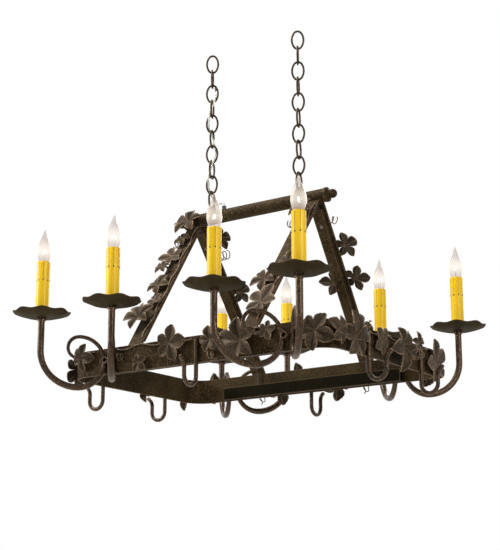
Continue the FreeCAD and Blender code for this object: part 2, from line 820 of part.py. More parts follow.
def supply_lead():
    """The lead wound through the left chain, a quarter turn to each link, and its tail."""
    places = link_count - 1 - lead_first_place_share
    quarter = 90 + link_twist_degrees
    azimuth = math.radians(45 + chain_turn_degrees + link_twist_degrees * places)
    side = ALONG * math.cos(azimuth) + ACROSS * math.sin(azimuth)
    origin = Vector(chain_x[0], 0, first_link_z - lead_first_place_share * link_pitch)
    turns = places * quarter / 360
    turn_rise = link_pitch * 360 / quarter
    edges = helix_edges(origin, -UP, side, supply_lead_orbit, turn_rise, turns, lead_steps)
    last = edges[-1]
    finish = last.valueAt(last.LastParameter)
    heading = last.tangentAt(last.LastParameter)
    points = [finish, finish + heading * (eye_radius * tail_start_share)]
    for x_share, y_share, z_share in tail_shares:
        spot = Vector(x_share, y_share, z_share) * eye_radius
        points.append(Vector(chain_x[0], 0, ridge_top_z) + spot)
    return rod(edges + rounded_run(points, supply_lead_tail_bend), supply_lead_radius)


def strut_lead_points(x_side, y_side):
    """The way of a strut's lead: inside the ridge tube, down the cover, into the raceway."""
    foot, top, across, up, out, length = strut_frame(x_side, y_side)
    lean = (top.x - foot.x) / length
    depth = strut_thickness / 2 + weld_gap + cover_depth / 2
    aside = ALONG * (y_side * lead_aside)
    line = foot + aside - out * depth
    span = up + ALONG * lean
    start = line + span * (length - ridge_radius / 2)
    drop = (line.y - y_side * raceway_y) / span.y
    corner = line - span * drop
    finish = Vector(corner.x, corner.y, raceway_foot_z + raceway_height * strut_lead_end_share)
    return [start, corner, finish]


def feed_leads():
    """The hidden leads of the ridge tube, the struts, the raceways and the hubs."""
    solids = []
    for x_side in (-1, 1):
        for y_side in (-1, 1):
            solids.append(rod(rounded_run(strut_lead_points(x_side, y_side), lead_bend), lead_radius))
    for side in (-1, 1):
        ends = [x for x, hub_side in hub_places if hub_side == side]
        level = raceway_foot_z + raceway_wall + lead_radius + weld_gap
        run = ALONG * (max(ends) - min(ends))
        start = Vector(min(ends), side * raceway_y, level)
        solids.append(cylinder(lead_radius, run.Length, start, ALONG))
    for x, side in hub_places:
        start = Vector(x, side * raceway_y, hub_lead_z)
        run = half_width + hub_length - lead_step - raceway_y
        solids.append(cylinder(lead_radius, run, start, ACROSS * side))
    depth = ridge_radius - ridge_wall - lead_radius - weld_gap
    ridge_run = 2 * (strut_ridge_x - ridge_hole_radius - lead_step)
    start = Vector(-ridge_run / 2, depth, ridge_z)
    solids.append(cylinder(lead_radius, ridge_run, start, ALONG))
    return solids


# Shares and tables that follow the sizes above
chain_turn_degrees = 8
link_twist_degrees = 2.75
cap_ball_seat_share = 0.7
lead_steps = 16
lead_first_place_share = 1.5
inlet_share = 3.55
tail_start_share = 0.9
tail_shares = [(1.95, 0.45, 1.75), (inlet_share, 0, 1.6), (inlet_share, 0, -0.4)]
strut_lead_end_share = 0.6
foot_bend_share = 0.598
curl_share = 0.424
curl_degrees = 202
bulb_shares = [(0, 0.44), (0.12, 0.52), (0.23, 0.66), (0.36, 0.93), (0.47, 1), (0.60, 0.88),
               (0.72, 0.60), (0.83, 0.34), (0.92, 0.17), (1, 0.08)]
drip_length_shares = [1, 0.99, 1.01]
lobe_shares = [(142, 0.42), (70, 0.50), (0, 0.58), (-70, 0.50), (-142, 0.42)]
lobe_edge_shares = [(0.38, 0.17), (0.60, 0.30), (0.80, 0.27), (0.94, 0.12)]
notch_share = 0.11
vine_chord_shares = [1, 1.25, 0.85, 1.15, 0.8]
vine_bend_share = 0.08
tendril_pitch_share = 4.2
tendril_stand_share = 0.8
tendril_foot_share = 0.12
boss_drop_share = 0.45
chain_x = (-chain_spread / 2, chain_spread / 2)
near_left_x = near_hub_step - hub_x
near_right_x = near_hub_step + hub_x
hub_places = [(near_left_x, -1), (near_right_x, -1), (-hub_x, 1), (hub_x, 1)]
arms = [
    ("near_left_outer", -lamp_outer_x, -1, near_left_x, -1),
    ("near_left_inner", -lamp_inner_x, -1, near_left_x, 1),
    ("near_right_inner", lamp_inner_x, -1, near_right_x, -1),
    ("near_right_outer", lamp_outer_x, -1, near_right_x, 1),
    ("far_left_outer", -lamp_outer_x, 1, -hub_x, -1),
    ("far_left_inner", -lamp_inner_x, 1, -hub_x, 1),
    ("far_right_inner", lamp_inner_x, 1, hub_x, -1),
    ("far_right_outer", lamp_outer_x, 1, hub_x, 1),
]
hooks = [
    ("near", Vector(hook_near_x, -half_width, 0), -ACROSS),
    ("far", Vector(hook_far_x, half_width, 0), ACROSS),
    ("left_near", Vector(-half_length, -hook_left_near_y, 0), -ALONG),
    ("left_far", Vector(-half_length, hook_left_far_y, 0), -ALONG),
    ("right_near", Vector(half_length, -hook_right_near_y, 0), ALONG),
    ("right_far", Vector(half_length, hook_right_far_y, 0), ALONG),
]

# The four outer faces of the band, each with x along it and y up from its middle
near_face = frame_at(Vector(0, -half_width, band_z), ALONG, UP)
far_face = frame_at(Vector(0, half_width, band_z), -ALONG, UP)
left_face = frame_at(Vector(-half_length, 0, band_z), -ACROSS, UP)
right_face = frame_at(Vector(half_length, 0, band_z), ACROSS, UP)

# Leaves on the band: place along the face and up it as shares of its half length and height,
# size, turn in degrees, layer, the two tilts in degrees and the boss's offset as a share of the size
near_leaves = [
    (-0.862, 0.28, leaf_middle, -100, 0, (6, -6), 0.22),
    (-0.390, -0.22, leaf_small, -130, 0, (0, 0), 0),
    (-0.135, 0.30, leaf_big, -85, 1, (4, 3), 0),
    (0.165, 0.24, leaf_middle, -60, 0, (-4, 0), 0),
    (0.400, 0.06, leaf_large, 80, 1, (0, -4), 0),
    (0.580, 0.34, leaf_small, 200, 0, (3, 0), 0),
    (0.915, 0.05, leaf_big, -115, 1, (0, 4), -0.28),
]
far_leaves = [
    (-0.90, 0.04, leaf_big, 200, 0, (0, 0), 0.30),
    (-0.50, 0.10, leaf_middle, 30, 0, (0, 0), 0),
    (-0.17, -0.12, leaf_big, 175, 1, (0, 0), 0),
    (0.125, 0.20, leaf_middle, -10, 0, (0, 3), 0),
    (0.29, -0.04, leaf_big, 170, 1, (3, 0), 0),
    (0.50, 0.10, leaf_small, 60, 0, (0, 0), 0),
    (0.90, 0.05, leaf_big, 15, 1, (0, 0), -0.30),
]
left_leaves = [
    (-0.84, 0.02, leaf_big, 170, 0, (0, 5), 0.22),
    (-0.18, -0.16, leaf_middle, 185, 0, (3, 0), 0),
    (0.14, 0.16, leaf_big, 25, 1, (0, -4), 0),
    (0.84, 0.02, leaf_big, 150, 0, (0, 0), -0.22),
]
right_leaves = [
    (-0.90, 0.06, leaf_middle, 60, 0, (0, 0), 0.40),
    (-0.67, -0.06, leaf_large, 5, 1, (0, -2), 0.10),
    (-0.19, 0.14, leaf_middle, 50, 0, (3, 0), 0),
    (0.145, 0.22, leaf_large, 178, 1, (0, 0), 0),
    (0.40, 0.45, leaf_small, 8, 2, (0, 0), -0.10),
    (0.82, -0.06, leaf_large, 25, 0, (0, 4), -0.20),
]
# Leaves on the struts: offset as a share of the strut's half width, way down as a share of its
# length, size, turn, layer and the boss's offset as a share of the strut's half width
near_left_strut_leaves = [
    (-0.25, 0.06, leaf_big, 75, 2, 0.20),
    (-0.70, 0.17, leaf_small, -150, 0, 0.30),
    (-0.75, 0.32, leaf_middle, 100, 0, 0.40),
    (-1.10, 0.42, leaf_small, 70, 1, 0.60),
    (-0.75, 0.56, leaf_middle, -20, 0, 0.40),
    (-0.10, 0.68, leaf_small, -110, 0, 0),
    (-0.85, 0.82, leaf_big, 25, 1, 0.50),
]
near_right_strut_leaves = [
    (-0.30, 0.14, leaf_middle, 40, 2, 0.20),
    (0.40, 0.33, leaf_small, -40, 0, -0.20),
    (1.30, 0.55, leaf_middle, -80, 0, -1.00),
    (-0.85, 0.66, leaf_middle, 110, 0, 0.40),
    (0.45, 0.85, leaf_big, -25, 1, -0.30),
]
far_left_strut_leaves = [
    (-1.20, 0.14, leaf_middle, 90, 2, 0.80),
    (-1.40, 0.48, leaf_middle, 70, 0, 0.90),
    (0.60, 0.34, leaf_small, -60, 0, -0.40),
    (0.10, 0.78, leaf_big, 170, 0, 0),
]
far_right_strut_leaves = [
    (-1.60, 0.31, leaf_middle, 75, 0, 1.00),
    (-1.50, 0.51, leaf_middle, 100, 1, 0.90),
    (1.40, 0.52, leaf_middle, -70, 0, -1.10),
    (-0.10, 0.82, leaf_big, 5, 0, 0),
]

# Runs of vine on each face, from and to, as shares of its half length
band_vines = [
    (near_face, half_length, [(-0.83, -0.77), (-0.58, 0.02), (0.10, 0.63), (0.81, 0.84)]),
    (far_face, half_length, [(-0.83, -0.75), (-0.58, -0.04), (0.05, 0.58), (0.75, 0.83)]),
    (left_face, half_width, [(-0.76, -0.52), (-0.45, 0.44), (0.51, 0.76)]),
    (right_face, half_width, [(-0.76, -0.52), (-0.37, 0.49), (0.57, 0.76)]),
]
strut_vine_shares = (0.04, 0.93)
corners = [("near_left", -1, -1), ("near_right", 1, -1), ("far_left", -1, 1), ("far_right", 1, 1)]

# Tendrils: place of the foot as shares of the face's half length and height, layer, heading in
# degrees, coil radius and turns
band_tendrils = [
    (near_face, half_length, -0.545, 0.20, 0, -10, tendril_small, 1.5),
    (near_face, half_length, 0.20, -0.45, 0, 172, tendril_small, 1.5),
    (far_face, half_length, 0.43, -0.40, 0, -30, tendril_small, 1.5),
    (far_face, half_length, -0.42, -0.42, 0, -20, tendril_small, 1.5),
    (right_face, half_width, -0.48, 0.44, 0, 100, tendril_large, 1.5),
    (right_face, half_width, 0.37, -0.16, 3, 180, tendril_large, 3),
    (left_face, half_width, -0.435, 0.20, 0, -20, tendril_small, 2),
]
# Tendrils of the struts: offset as a share of the half width, way down as a share of the length
strut_tendrils = [
    (-1, -1, -0.75, 0.245, 0, 170, tendril_small, 1),
    (-1, 1, -0.70, 0.27, 0, 176, tendril_long, 2.5),
    (1, 1, -0.70, 0.17, 0, 200, tendril_large, 1.5),
    (1, -1, -0.70, 0.27, 0, 150, tendril_large, 1.25),
]


def band_leaves(frame, half, table):
    solids = []
    for along_share, up_share, size, turn, level, tilt, boss_share in table:
        up = up_share * band_height
        boss = (boss_share * size, -boss_drop_share * up)
        solids.append(leaf(frame, along_share * half, up, size, turn, level, tilt, boss))
    return solids


def strut_face(x_side, y_side):
    """The outer face of a strut, with y up it from its foot, and its length and lean."""
    foot, top, across, up, out, length = strut_frame(x_side, y_side)
    lean = (top.x - foot.x) / length
    return frame_at(foot + out * (strut_thickness / 2), across, up), length, lean * across.x


def strut_leaves(x_side, y_side, table):
    frame, length, lean = strut_face(x_side, y_side)
    solids = []
    for aside_share, down_share, size, turn, level, boss_share in table:
        up = length * (1 - down_share)
        aside = aside_share * strut_width / 2 + lean * up
        boss = (boss_share * strut_width / 2, 0)
        solids.append(leaf(frame, aside, up, size, turn, level, (0, 0), boss))
    return solids


def all_tendrils():
    """The curly wires on the band and the struts."""
    solids = []
    for frame, half, along_share, up_share, *coil in band_tendrils:
        solids.append(tendril(frame, along_share * half, up_share * band_height, *coil))
    for x_side, y_side, aside_share, down_share, *coil in strut_tendrils:
        frame, length, lean = strut_face(x_side, y_side)
        up = length * (1 - down_share)
        aside = aside_share * strut_width / 2 + lean * up
        solids.append(tendril(frame, aside, up, *coil))
    return solids


def all_vines():
    """The vine wires on the four faces of the band and on the four struts."""
    solids = []
    for frame, half, table in band_vines:
        for start_share, finish_share in table:
            solids.append(vine(frame, start_share * half, finish_share * half, vine_band_height))
    for name, x_side, y_side in corners:
        frame, length, lean = strut_face(x_side, y_side)
        start, finish = (length * share for share in strut_vine_shares)
        solids.append(vine(frame, start, finish, vine_strut_offset, lean))
    return solids


def lamp_copy(solid, arm):
    """A lamp piece moved to the head of its arm."""
    copy = solid.copy()
    copy.translate(Vector(arm[1], arm[2] * lamp_y, pan_z))
    return copy


export("top_links", *[link_at(x, 0) for x in chain_x])
export("second_links", *[link_at(x, 1) for x in chain_x])
export("chain_left", *[link_at(chain_x[0], index) for index in range(2, link_count)])
export("chain_right", *[link_at(chain_x[1], index) for index in range(2, link_count)])
for x, side_name in zip(chain_x, ("left", "right")):
    export("eye_" + side_name, eye(x), eye_nut(x))
export("ridge_tube", ridge_tube())
export("lead_inlet", lead_inlet())
export("finials", finial(-1), finial(1))
export("band", band())
export("raceway_near", raceway(-1))
export("raceway_far", raceway(1))
for name, x_side, y_side in corners:
    export("strut_" + name, strut(x_side, y_side))
export("strut_covers", *[cover(x_side, y_side) for name, x_side, y_side in corners])
screws = []
for name, x_side, y_side in corners:
    screws += screws_of(x_side, y_side)
export("cover_screws", *screws)
export("arm_hubs", *[hub(x, side) for x, side in hub_places])
for arm in arms:
    export("arm_" + arm[0], arm_solid(arm))
one_pan, one_sleeve, one_socket, one_bulb = pan(), sleeve(), socket(), bulb()
export("drip_pans", *[lamp_copy(one_pan, arm) for arm in arms])
export("lamp_sockets", *[lamp_copy(one_socket, arm) for arm in arms])
for arm in arms:
    export("sleeve_" + arm[0], lamp_copy(one_sleeve, arm))
    export("bulb_" + arm[0], *[lamp_copy(piece, arm) for piece in one_bulb])
for place in hooks:
    export("hook_" + place[0], hook(place))
export("leaves_near", *band_leaves(near_face, half_length, near_leaves))
export("leaves_far", *band_leaves(far_face, half_length, far_leaves))
export("leaves_left", *band_leaves(left_face, half_width, left_leaves))
export("leaves_right", *band_leaves(right_face, half_width, right_leaves))
near_tables = [near_left_strut_leaves, near_right_strut_leaves]
strut_tables = near_tables + [far_left_strut_leaves, far_right_strut_leaves]
strut_blades = []
for (name, x_side, y_side), table in zip(corners, strut_tables):
    strut_blades += strut_leaves(x_side, y_side, table)
export("leaves_struts", *strut_blades)
export("vines", *all_vines())
export("tendrils", *all_tendrils())
export("inner_leads", *feed_leads(), *[arm_lead(arm) for arm in arms])
export("supply_lead", supply_lead())
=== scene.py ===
# %% [markdown]
# # A wrought-iron pot rack with candle lamps and ivy
#
# The rack is a band of flat iron under a ridge tube, hung from two chains. Its solids come from
# CAD and already have their size and place. Here they get their finish, and the pieces that a
# smith or a wax caster shapes by eye are made again: the leaves, the drip pans, the candle
# sleeves, the bulbs and the lead that winds down the chain.

import json
import math

import bpy
from mathutils import Matrix, Vector


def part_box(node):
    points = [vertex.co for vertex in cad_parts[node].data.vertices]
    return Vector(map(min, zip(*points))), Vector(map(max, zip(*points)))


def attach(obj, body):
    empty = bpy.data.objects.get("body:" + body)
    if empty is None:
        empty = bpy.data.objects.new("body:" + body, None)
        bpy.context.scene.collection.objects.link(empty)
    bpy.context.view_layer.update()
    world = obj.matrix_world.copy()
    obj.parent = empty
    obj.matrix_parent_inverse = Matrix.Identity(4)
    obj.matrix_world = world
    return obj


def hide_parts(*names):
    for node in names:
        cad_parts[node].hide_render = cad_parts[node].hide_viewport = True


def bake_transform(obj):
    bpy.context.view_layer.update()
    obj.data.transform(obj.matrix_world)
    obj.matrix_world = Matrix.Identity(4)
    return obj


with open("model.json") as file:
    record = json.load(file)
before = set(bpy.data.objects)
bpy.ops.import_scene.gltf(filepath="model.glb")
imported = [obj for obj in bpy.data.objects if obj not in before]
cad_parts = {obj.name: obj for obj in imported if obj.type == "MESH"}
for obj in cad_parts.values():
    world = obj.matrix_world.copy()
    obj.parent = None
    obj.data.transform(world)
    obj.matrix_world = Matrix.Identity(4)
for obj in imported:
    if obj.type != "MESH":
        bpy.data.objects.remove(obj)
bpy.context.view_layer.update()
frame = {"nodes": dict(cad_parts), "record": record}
nodes = frame["nodes"]

# %% [markdown]
# ## Camera
#
# The photo was taken from a little below the rack, looking up at one corner. The camera comes
# before anything else, because the cord is judged by what the camera sees.

# %% Heights that the rest follows
def middle_z(name):
    """The middle height of a CAD node."""
    low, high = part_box(name)
    return (low[2] + high[2]) / 2


band_z, ridge_z = middle_z("band"), middle_z("ridge_tube")
pan_z, sleeve_top = (corner[2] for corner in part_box("sleeve_near_left_outer"))
sleeve_height = sleeve_top - pan_z
print("heights", band_z, ridge_z, pan_z, sleeve_height)

# %% Camera at the photo's angle
camera_x, camera_y, camera_below_band = 1.49196, -2.11458, 0.46239
camera_tilt_degrees, camera_turn_degrees = 104.01, 35.65
bpy.ops.object.camera_add(
    location=(camera_x, camera_y, band_z - camera_below_band),
    rotation=(math.radians(camera_tilt_degrees), 0, math.radians(camera_turn_degrees)),
)
camera = bpy.context.object
camera.data.lens = 87.68
camera.data.sensor_width = 36
camera.data.shift_x = 0.00995
camera.data.shift_y = 0.0006
bpy.context.scene.camera = camera
bpy.context.scene.view_settings.view_transform = "Standard"
print("camera at", tuple(camera.location))

# %% [markdown]
# ## The lead in the left chain
#
# The lamps are fed by one thin lead. It leaves a bushing in the ridge tube, passes the eye and
# winds up through the chain, a quarter turn to each link. Its free end is stripped for the
# connection at the ceiling. A NURBS spline through the route's own points bends as a limp lead
# does. The turns about the chain are more points of the same spline. The spline is then made a
# mesh. In use, its foot swings with the rack and its upper part with the chain.

# %% The lead's route, from the bushing to the ceiling
chain_x = 0.108
lead_radius = 0.002
lead_points = 24
lead_orbit = 0.00734
lead_first_degrees, lead_wound_degrees = 98, 695.625
lead_foot = [
    (-0.07605, 0, -0.3471),
    (-0.07605, 0, -0.3370),
    (-0.07605, 0, -0.3291),
    (-0.0905, 0.0040, -0.3277),
    (-0.1057, 0.0071, -0.3262),
]
lead_low, lead_high = -0.3184, -0.06715


def lead_route():
    """The control points of the lead: its foot, then a rising helix."""
    points = list(lead_foot)
    for index in range(lead_points + 1):
        share = index / lead_points
        angle = math.radians(lead_first_degrees + lead_wound_degrees * share)
        x = -chain_x + lead_orbit * math.cos(angle)
        height = lead_low + (lead_high - lead_low) * share
        points.append((x, lead_orbit * math.sin(angle), height))
    return points


def spline_object(name, points):
    """A curve object of one open NURBS spline."""
    curve = bpy.data.curves.new(name, "CURVE")
    curve.dimensions = "3D"
    spline = curve.splines.new("NURBS")
    spline.points.add(len(points) - 1)
    for point, place in zip(spline.points, points):
        point.co = (*place, 1)
    spline.order_u = 3
    spline.use_endpoint_u = True
    curve.resolution_u = 6
    piece = bpy.data.objects.new(name, curve)
    bpy.context.scene.collection.objects.link(piece)
    return piece


line = spline_object("lead_line", lead_route())
lead_path = [vertex.co.copy() for vertex in bpy.data.meshes.new_from_object(line).vertices]
line.data.bevel_depth = lead_radius
line.data.bevel_resolution = 3
line.data.use_fill_caps = True
lead = bpy.data.objects.new("supply_lead_cord", bpy.data.meshes.new_from_object(line))
bpy.context.scene.collection.objects.link(lead)
bpy.data.objects.remove(line)
lead_length = sum((b - a).length for a, b in zip(lead_path, lead_path[1:]))
print("lead is", round(lead_length, 4), "m long")


# %% [markdown]
# ## Helpers for modelling
#
# Operators act on whatever is selected, so each step first clears the selection and then picks
# vertices by their place. A round piece is raised ring by ring, as a potter raises a wall: each
# ring is extruded from the last one and scaled to its own radius.

# %% Selecting and naming
def choose(piece):
    """Makes one piece the only selected one."""
    bpy.ops.object.select_all(action="DESELECT")
    piece.select_set(True)
    bpy.context.view_layer.objects.active = piece
    return piece


def named(piece, name):
    """Names an object and its mesh alike."""
    piece.name = name
    piece.data.name = name
    return piece


def pick(piece, test):
    """Selects, in edit mode, the vertices that pass a test."""
    bpy.ops.object.mode_set(mode="OBJECT")
    for elements in (piece.data.polygons, piece.data.edges):
        elements.foreach_set("select", [False] * len(elements))
    for vertex in piece.data.vertices:
        vertex.select = test(vertex)
    bpy.ops.object.mode_set(mode="EDIT")


def picked(piece):
    """The indices of the vertices that are selected now."""
    bpy.ops.object.mode_set(mode="OBJECT")
    found = {vertex.index for vertex in piece.data.vertices if vertex.select}
    bpy.ops.object.mode_set(mode="EDIT")
    return found


# %% Rings, copies and modifiers
def ring_stack(name, profile, sides):
    """A round form about Z, raised through a list of radius and height."""
    radius, height = profile[0]
    bpy.ops.object.select_all(action="DESELECT")
    bpy.ops.mesh.primitive_circle_add(vertices=sides, radius=radius, location=(0, 0, height))
    piece = named(bpy.context.object, name)
    bpy.ops.object.transform_apply(location=True, rotation=True, scale=True)
    bpy.ops.object.mode_set(mode="EDIT")
    bpy.ops.mesh.select_all(action="SELECT")
    for next_radius, next_height in profile[1:]:
        rise = {"value": (0, 0, next_height - height)}
        bpy.ops.mesh.extrude_region_move(TRANSFORM_OT_translate=rise)
        scale = next_radius / radius
        bpy.ops.transform.resize(value=(scale, scale, 1), center_override=(0, 0, next_height))
        radius, height = next_radius, next_height
    bpy.ops.object.mode_set(mode="OBJECT")
    return piece


def close_ends(piece):
    """Fills the open rings of a piece and points its faces outwards."""
    choose(piece)
    bpy.ops.object.mode_set(mode="EDIT")
    bpy.ops.mesh.select_all(action="DESELECT")
    bpy.ops.mesh.select_mode(type="EDGE")
    bpy.ops.mesh.select_non_manifold()
    if picked(piece):
        bpy.ops.mesh.fill_holes(sides=0)
    bpy.ops.mesh.select_mode(type="VERT")
    bpy.ops.mesh.select_all(action="SELECT")
    bpy.ops.mesh.normals_make_consistent(inside=False)
    bpy.ops.object.mode_set(mode="OBJECT")
    return piece


def modified(piece, kind, **settings):
    """Adds a modifier and applies it."""
    choose(piece)
    modifier = piece.modifiers.new(kind.lower(), kind)
    for key, value in settings.items():
        setattr(modifier, key, value)
    bpy.ops.object.modifier_apply(modifier=modifier.name)
    return piece


def smoothed(piece, degrees=35):
    """Shades a piece smooth, and keeps the edges that are sharper than an angle."""
    choose(piece)
    bpy.ops.object.shade_smooth_by_angle(angle=math.radians(degrees))
    return piece


def copy_at(piece, matrix):
    """A copy with a mesh of its own, moved by a matrix."""
    copy = piece.copy()
    copy.data = piece.data.copy()
    copy.data.transform(matrix)
    bpy.context.scene.collection.objects.link(copy)
    return copy


def joined(pieces, name):
    """Makes several pieces one."""
    bpy.ops.object.select_all(action="DESELECT")
    for piece in pieces:
        piece.select_set(True)
    bpy.context.view_layer.objects.active = pieces[0]
    if len(pieces) > 1:
        bpy.ops.object.join()
    return named(bpy.context.view_layer.objects.active, name)


def drop(*pieces):
    """Removes the patterns that copies were made from."""
    for piece in pieces:
        bpy.data.objects.remove(piece)


# %% [markdown]
# ## Writing a finish as a sum
#
# A finish is a small calculation: a colour here, a little rougher there. This class wraps a
# node's output, so that `0.3 + cloud * 0.5` adds the Math nodes by itself and the finish reads
# as a formula.

# %% Values that add their own nodes
class Value:
    """One output of a node."""

    def __init__(self, recipe, socket):
        self.recipe = recipe
        self.socket = socket

    def join(self, operation, first, second):
        """The outcome of a Math node."""
        return self.recipe.node("ShaderNodeMath", {"operation": operation}, {0: first, 1: second})[0]

    def __add__(self, other):
        return self.join("ADD", self, other)

    def __radd__(self, other):
        return self.join("ADD", other, self)

    def __sub__(self, other):
        return self.join("SUBTRACT", self, other)

    def __rsub__(self, other):
        return self.join("SUBTRACT", other, self)

    def __mul__(self, other):
        return self.join("MULTIPLY", self, other)

    def __rmul__(self, other):
        return self.join("MULTIPLY", other, self)

    def clear(self, low, high):
        """0 below low and 1 above high."""
        values = {0: self, 1: low, 2: high, 3: 0.0, 4: 1.0}
        return self.recipe.node("ShaderNodeMapRange", {"clamp": True}, values)[0]

    def or_more(self, other):
        """The greater of two values."""
        return self.join("MAXIMUM", self, other)


class Recipe:
    """A tree of nodes, for a finish or for the room's light."""

    def __init__(self, tree):
        self.tree = tree

    def node(self, kind, settings=None, values=None):
        """Adds a node, sets it and returns its outputs."""
        made = self.tree.nodes.new(kind)
        for key, value in (settings or {}).items():
            setattr(made, key, value)
        for key, value in (values or {}).items():
            self.feed(made.inputs[key], value)
        return [Value(self, output) for output in made.outputs]

    def feed(self, socket, value):
        """Links a value to a socket, or sets a plain number or colour on it."""
        if isinstance(value, Value):
            self.tree.links.new(value.socket, socket)
        else:
            socket.default_value = value

    def place(self):
        """The piece's own coordinates, in metres."""
        return self.node("ShaderNodeTexCoord")[3]

    def noise(self, scale, detail, stretch=(1, 1, 1)):
        """Soft clouds that get smaller as the scale grows."""
        moved = self.node("ShaderNodeMapping", {}, {"Vector": self.place(), "Scale": stretch})[0]
        values = {"Vector": moved, "Scale": scale, "Detail": detail, "Roughness": 0.55}
        return self.node("ShaderNodeTexNoise", {}, values)[0]

    def hammer_marks(self, scale):
        """The distance to the middle of the nearest hammer mark."""
        values = {"Vector": self.place(), "Scale": scale, "Smoothness": 0.35}
        return self.node("ShaderNodeTexVoronoi", {"feature": "SMOOTH_F1"}, values)[0]

    def mix(self, share, first, second):
        """A colour between two colours."""
        values = {0: share, 6: first, 7: second}
        return self.node("ShaderNodeMix", {"data_type": "RGBA"}, values)[2]

    def bump(self, height, strength, distance):
        """A normal for a surface that is this high."""
        values = {"Height": height, "Strength": strength, "Distance": distance}
        return self.node("ShaderNodeBump", {}, values)[0]

    def edges(self, radius):
        """1 on sharp edges, found from how far a rounded normal turns from the true one."""
        rounded = self.node("ShaderNodeBevel", {"samples": 4}, {"Radius": radius})[0]
        flat = self.node("ShaderNodeNewGeometry")[1]
        same = self.node("ShaderNodeVectorMath", {"operation": "DOT_PRODUCT"}, {0: rounded, 1: flat})[1]
        return (1.0 - same).clear(0.02, 0.20)


def finish(name, build, **constants):
    """A material whose varying values come from a function of its recipe."""
    material = bpy.data.materials.new(name)
    material.use_nodes = True
    recipe = Recipe(material.node_tree)
    shader = material.node_tree.nodes["Principled BSDF"]
    for key, value in {**build(recipe), **constants}.items():
        recipe.feed(shader.inputs[key.replace("_", " ")], value)
    return material


def paint(red, green, blue):
    """A full colour as a shader's socket takes it."""
    return (red, green, blue, 1.0)


# %% [markdown]
# ## The iron
#
# The iron is hammered and has a dark brown finish, rubbed so that copper shows on the rods and
# on every edge. Slow clouds vary the brown, fine specks break it up, and worn edges turn warmer
# and less rough. The hammer marks are a bump. Its shine is low and warm, because a full one
# would turn the brown grey under a white room. One function makes every iron finish, because
# the pieces differ only in how dark, how worn and how coarsely hammered they are. On the
# raceways the dark is painted shade and the worn edge a painted highlight, and on the wire the
# rub is partly a painted highlight.

# %% How an iron finish is built
cloud_scale, speck_scale = 14, 480
iron_metallic, iron_shine, iron_tint = 0.12, 0.06, paint(1.0, 0.76, 0.56)


def iron(
    name, dark, light, rub_and_highlight, mark_scale, mark_depth, wear=0.5, rough=0.44, gloss=0.0, ribs=0.0, edge=0.0011
):
    """Brown iron, lifted to its rub colour in specks (wear), on drawn lines (ribs) and on edges of a radius
    (edge); on the raceways and the wire this rub colour is partly a painted highlight.
    """

    def build(recipe):
        cloud = recipe.noise(cloud_scale, detail=4)
        speck = recipe.noise(speck_scale, detail=2)
        marks = recipe.hammer_marks(mark_scale)
        brown = recipe.mix(cloud.clear(0.35, 0.65), paint(*dark), paint(*light))
        rub_and_highlight_mask = (recipe.edges(edge) * 0.8).or_more(speck.clear(0.56, 0.72) * wear)
        if ribs:
            line = recipe.node("ShaderNodeAttribute", {"attribute_name": "rub_and_highlight"})[2]
            rub_and_highlight_mask = rub_and_highlight_mask.or_more(line.clear(0.35, 1.0) * ribs)
        return {
            "Base_Color": recipe.mix(rub_and_highlight_mask, brown, paint(*rub_and_highlight)),
            "Roughness": rough + cloud * 0.14 - rub_and_highlight_mask * 0.12,
            "Normal": recipe.bump(marks + speck * 0.10, strength=0.8, distance=mark_depth),
        }

    shine = {"Specular_IOR_Level": iron_shine + gloss, "Specular_Tint": iron_tint}
    return finish(name, build, Metallic=iron_metallic, **shine)


# %% Iron finishes
iron_looks = {
    "frame_iron": dict(
        dark=(0.014, 0.010, 0.004), light=(0.044, 0.032, 0.015), rub_and_highlight=(0.46, 0.28, 0.18),
        mark_scale=330, mark_depth=0.0008, wear=0.38, rough=0.46,
    ),
    # The raceways' near-black colour is painted shade, and their wide lighter edge (edge) is a painted
    # highlight along the top.
    "raceway_painted_shade_and_highlight": dict(
        dark=(0.002, 0.002, 0.0005), light=(0.004, 0.0035, 0.0012), rub_and_highlight=(0.20, 0.14, 0.09),
        mark_scale=120, mark_depth=0.0003, wear=0.06, rough=0.60, edge=0.003,
    ),
    "rod_iron": dict(
        dark=(0.010, 0.006, 0.003), light=(0.030, 0.018, 0.010), rub_and_highlight=(0.66, 0.37, 0.24),
        mark_scale=300, mark_depth=0.00025, wear=0.46, rough=0.24, gloss=0.30,
    ),
    "pan_iron": dict(
        dark=(0.024, 0.019, 0.008), light=(0.038, 0.030, 0.014), rub_and_highlight=(0.30, 0.18, 0.11),
        mark_scale=60, mark_depth=0.0003, wear=0.12, rough=0.55,
    ),
    "chain_iron": dict(
        dark=(0.016, 0.012, 0.007), light=(0.048, 0.038, 0.026), rub_and_highlight=(0.44, 0.31, 0.22),
        mark_scale=300, mark_depth=0.0004, wear=0.45, rough=0.34, gloss=0.15,
    ),
    "leaf_iron": dict(
        dark=(0.020, 0.016, 0.009), light=(0.058, 0.046, 0.033), rub_and_highlight=(0.42, 0.27, 0.18),
        mark_scale=260, mark_depth=0.0005, wear=0.32, rough=0.40, gloss=0.10, ribs=0.6,
    ),
    # The wire's pale colours and strong rub are partly copper rub and partly a painted highlight on the thin
    # curls.
    "wire_iron": dict(
        dark=(0.050, 0.034, 0.023), light=(0.16, 0.11, 0.080), rub_and_highlight=(0.78, 0.56, 0.44),
        mark_scale=320, mark_depth=0.0002, wear=0.75, rough=0.30, gloss=0.25,
    ),
    "screw": dict(
        dark=(0.10, 0.09, 0.08), light=(0.20, 0.18, 0.16), rub_and_highlight=(0.5, 0.45, 0.4),
        mark_scale=400, mark_depth=0.0002,
    ),
}
finishes = {name: iron(name, **look) for name, look in iron_looks.items()}
print("iron finishes:", sorted(finishes))


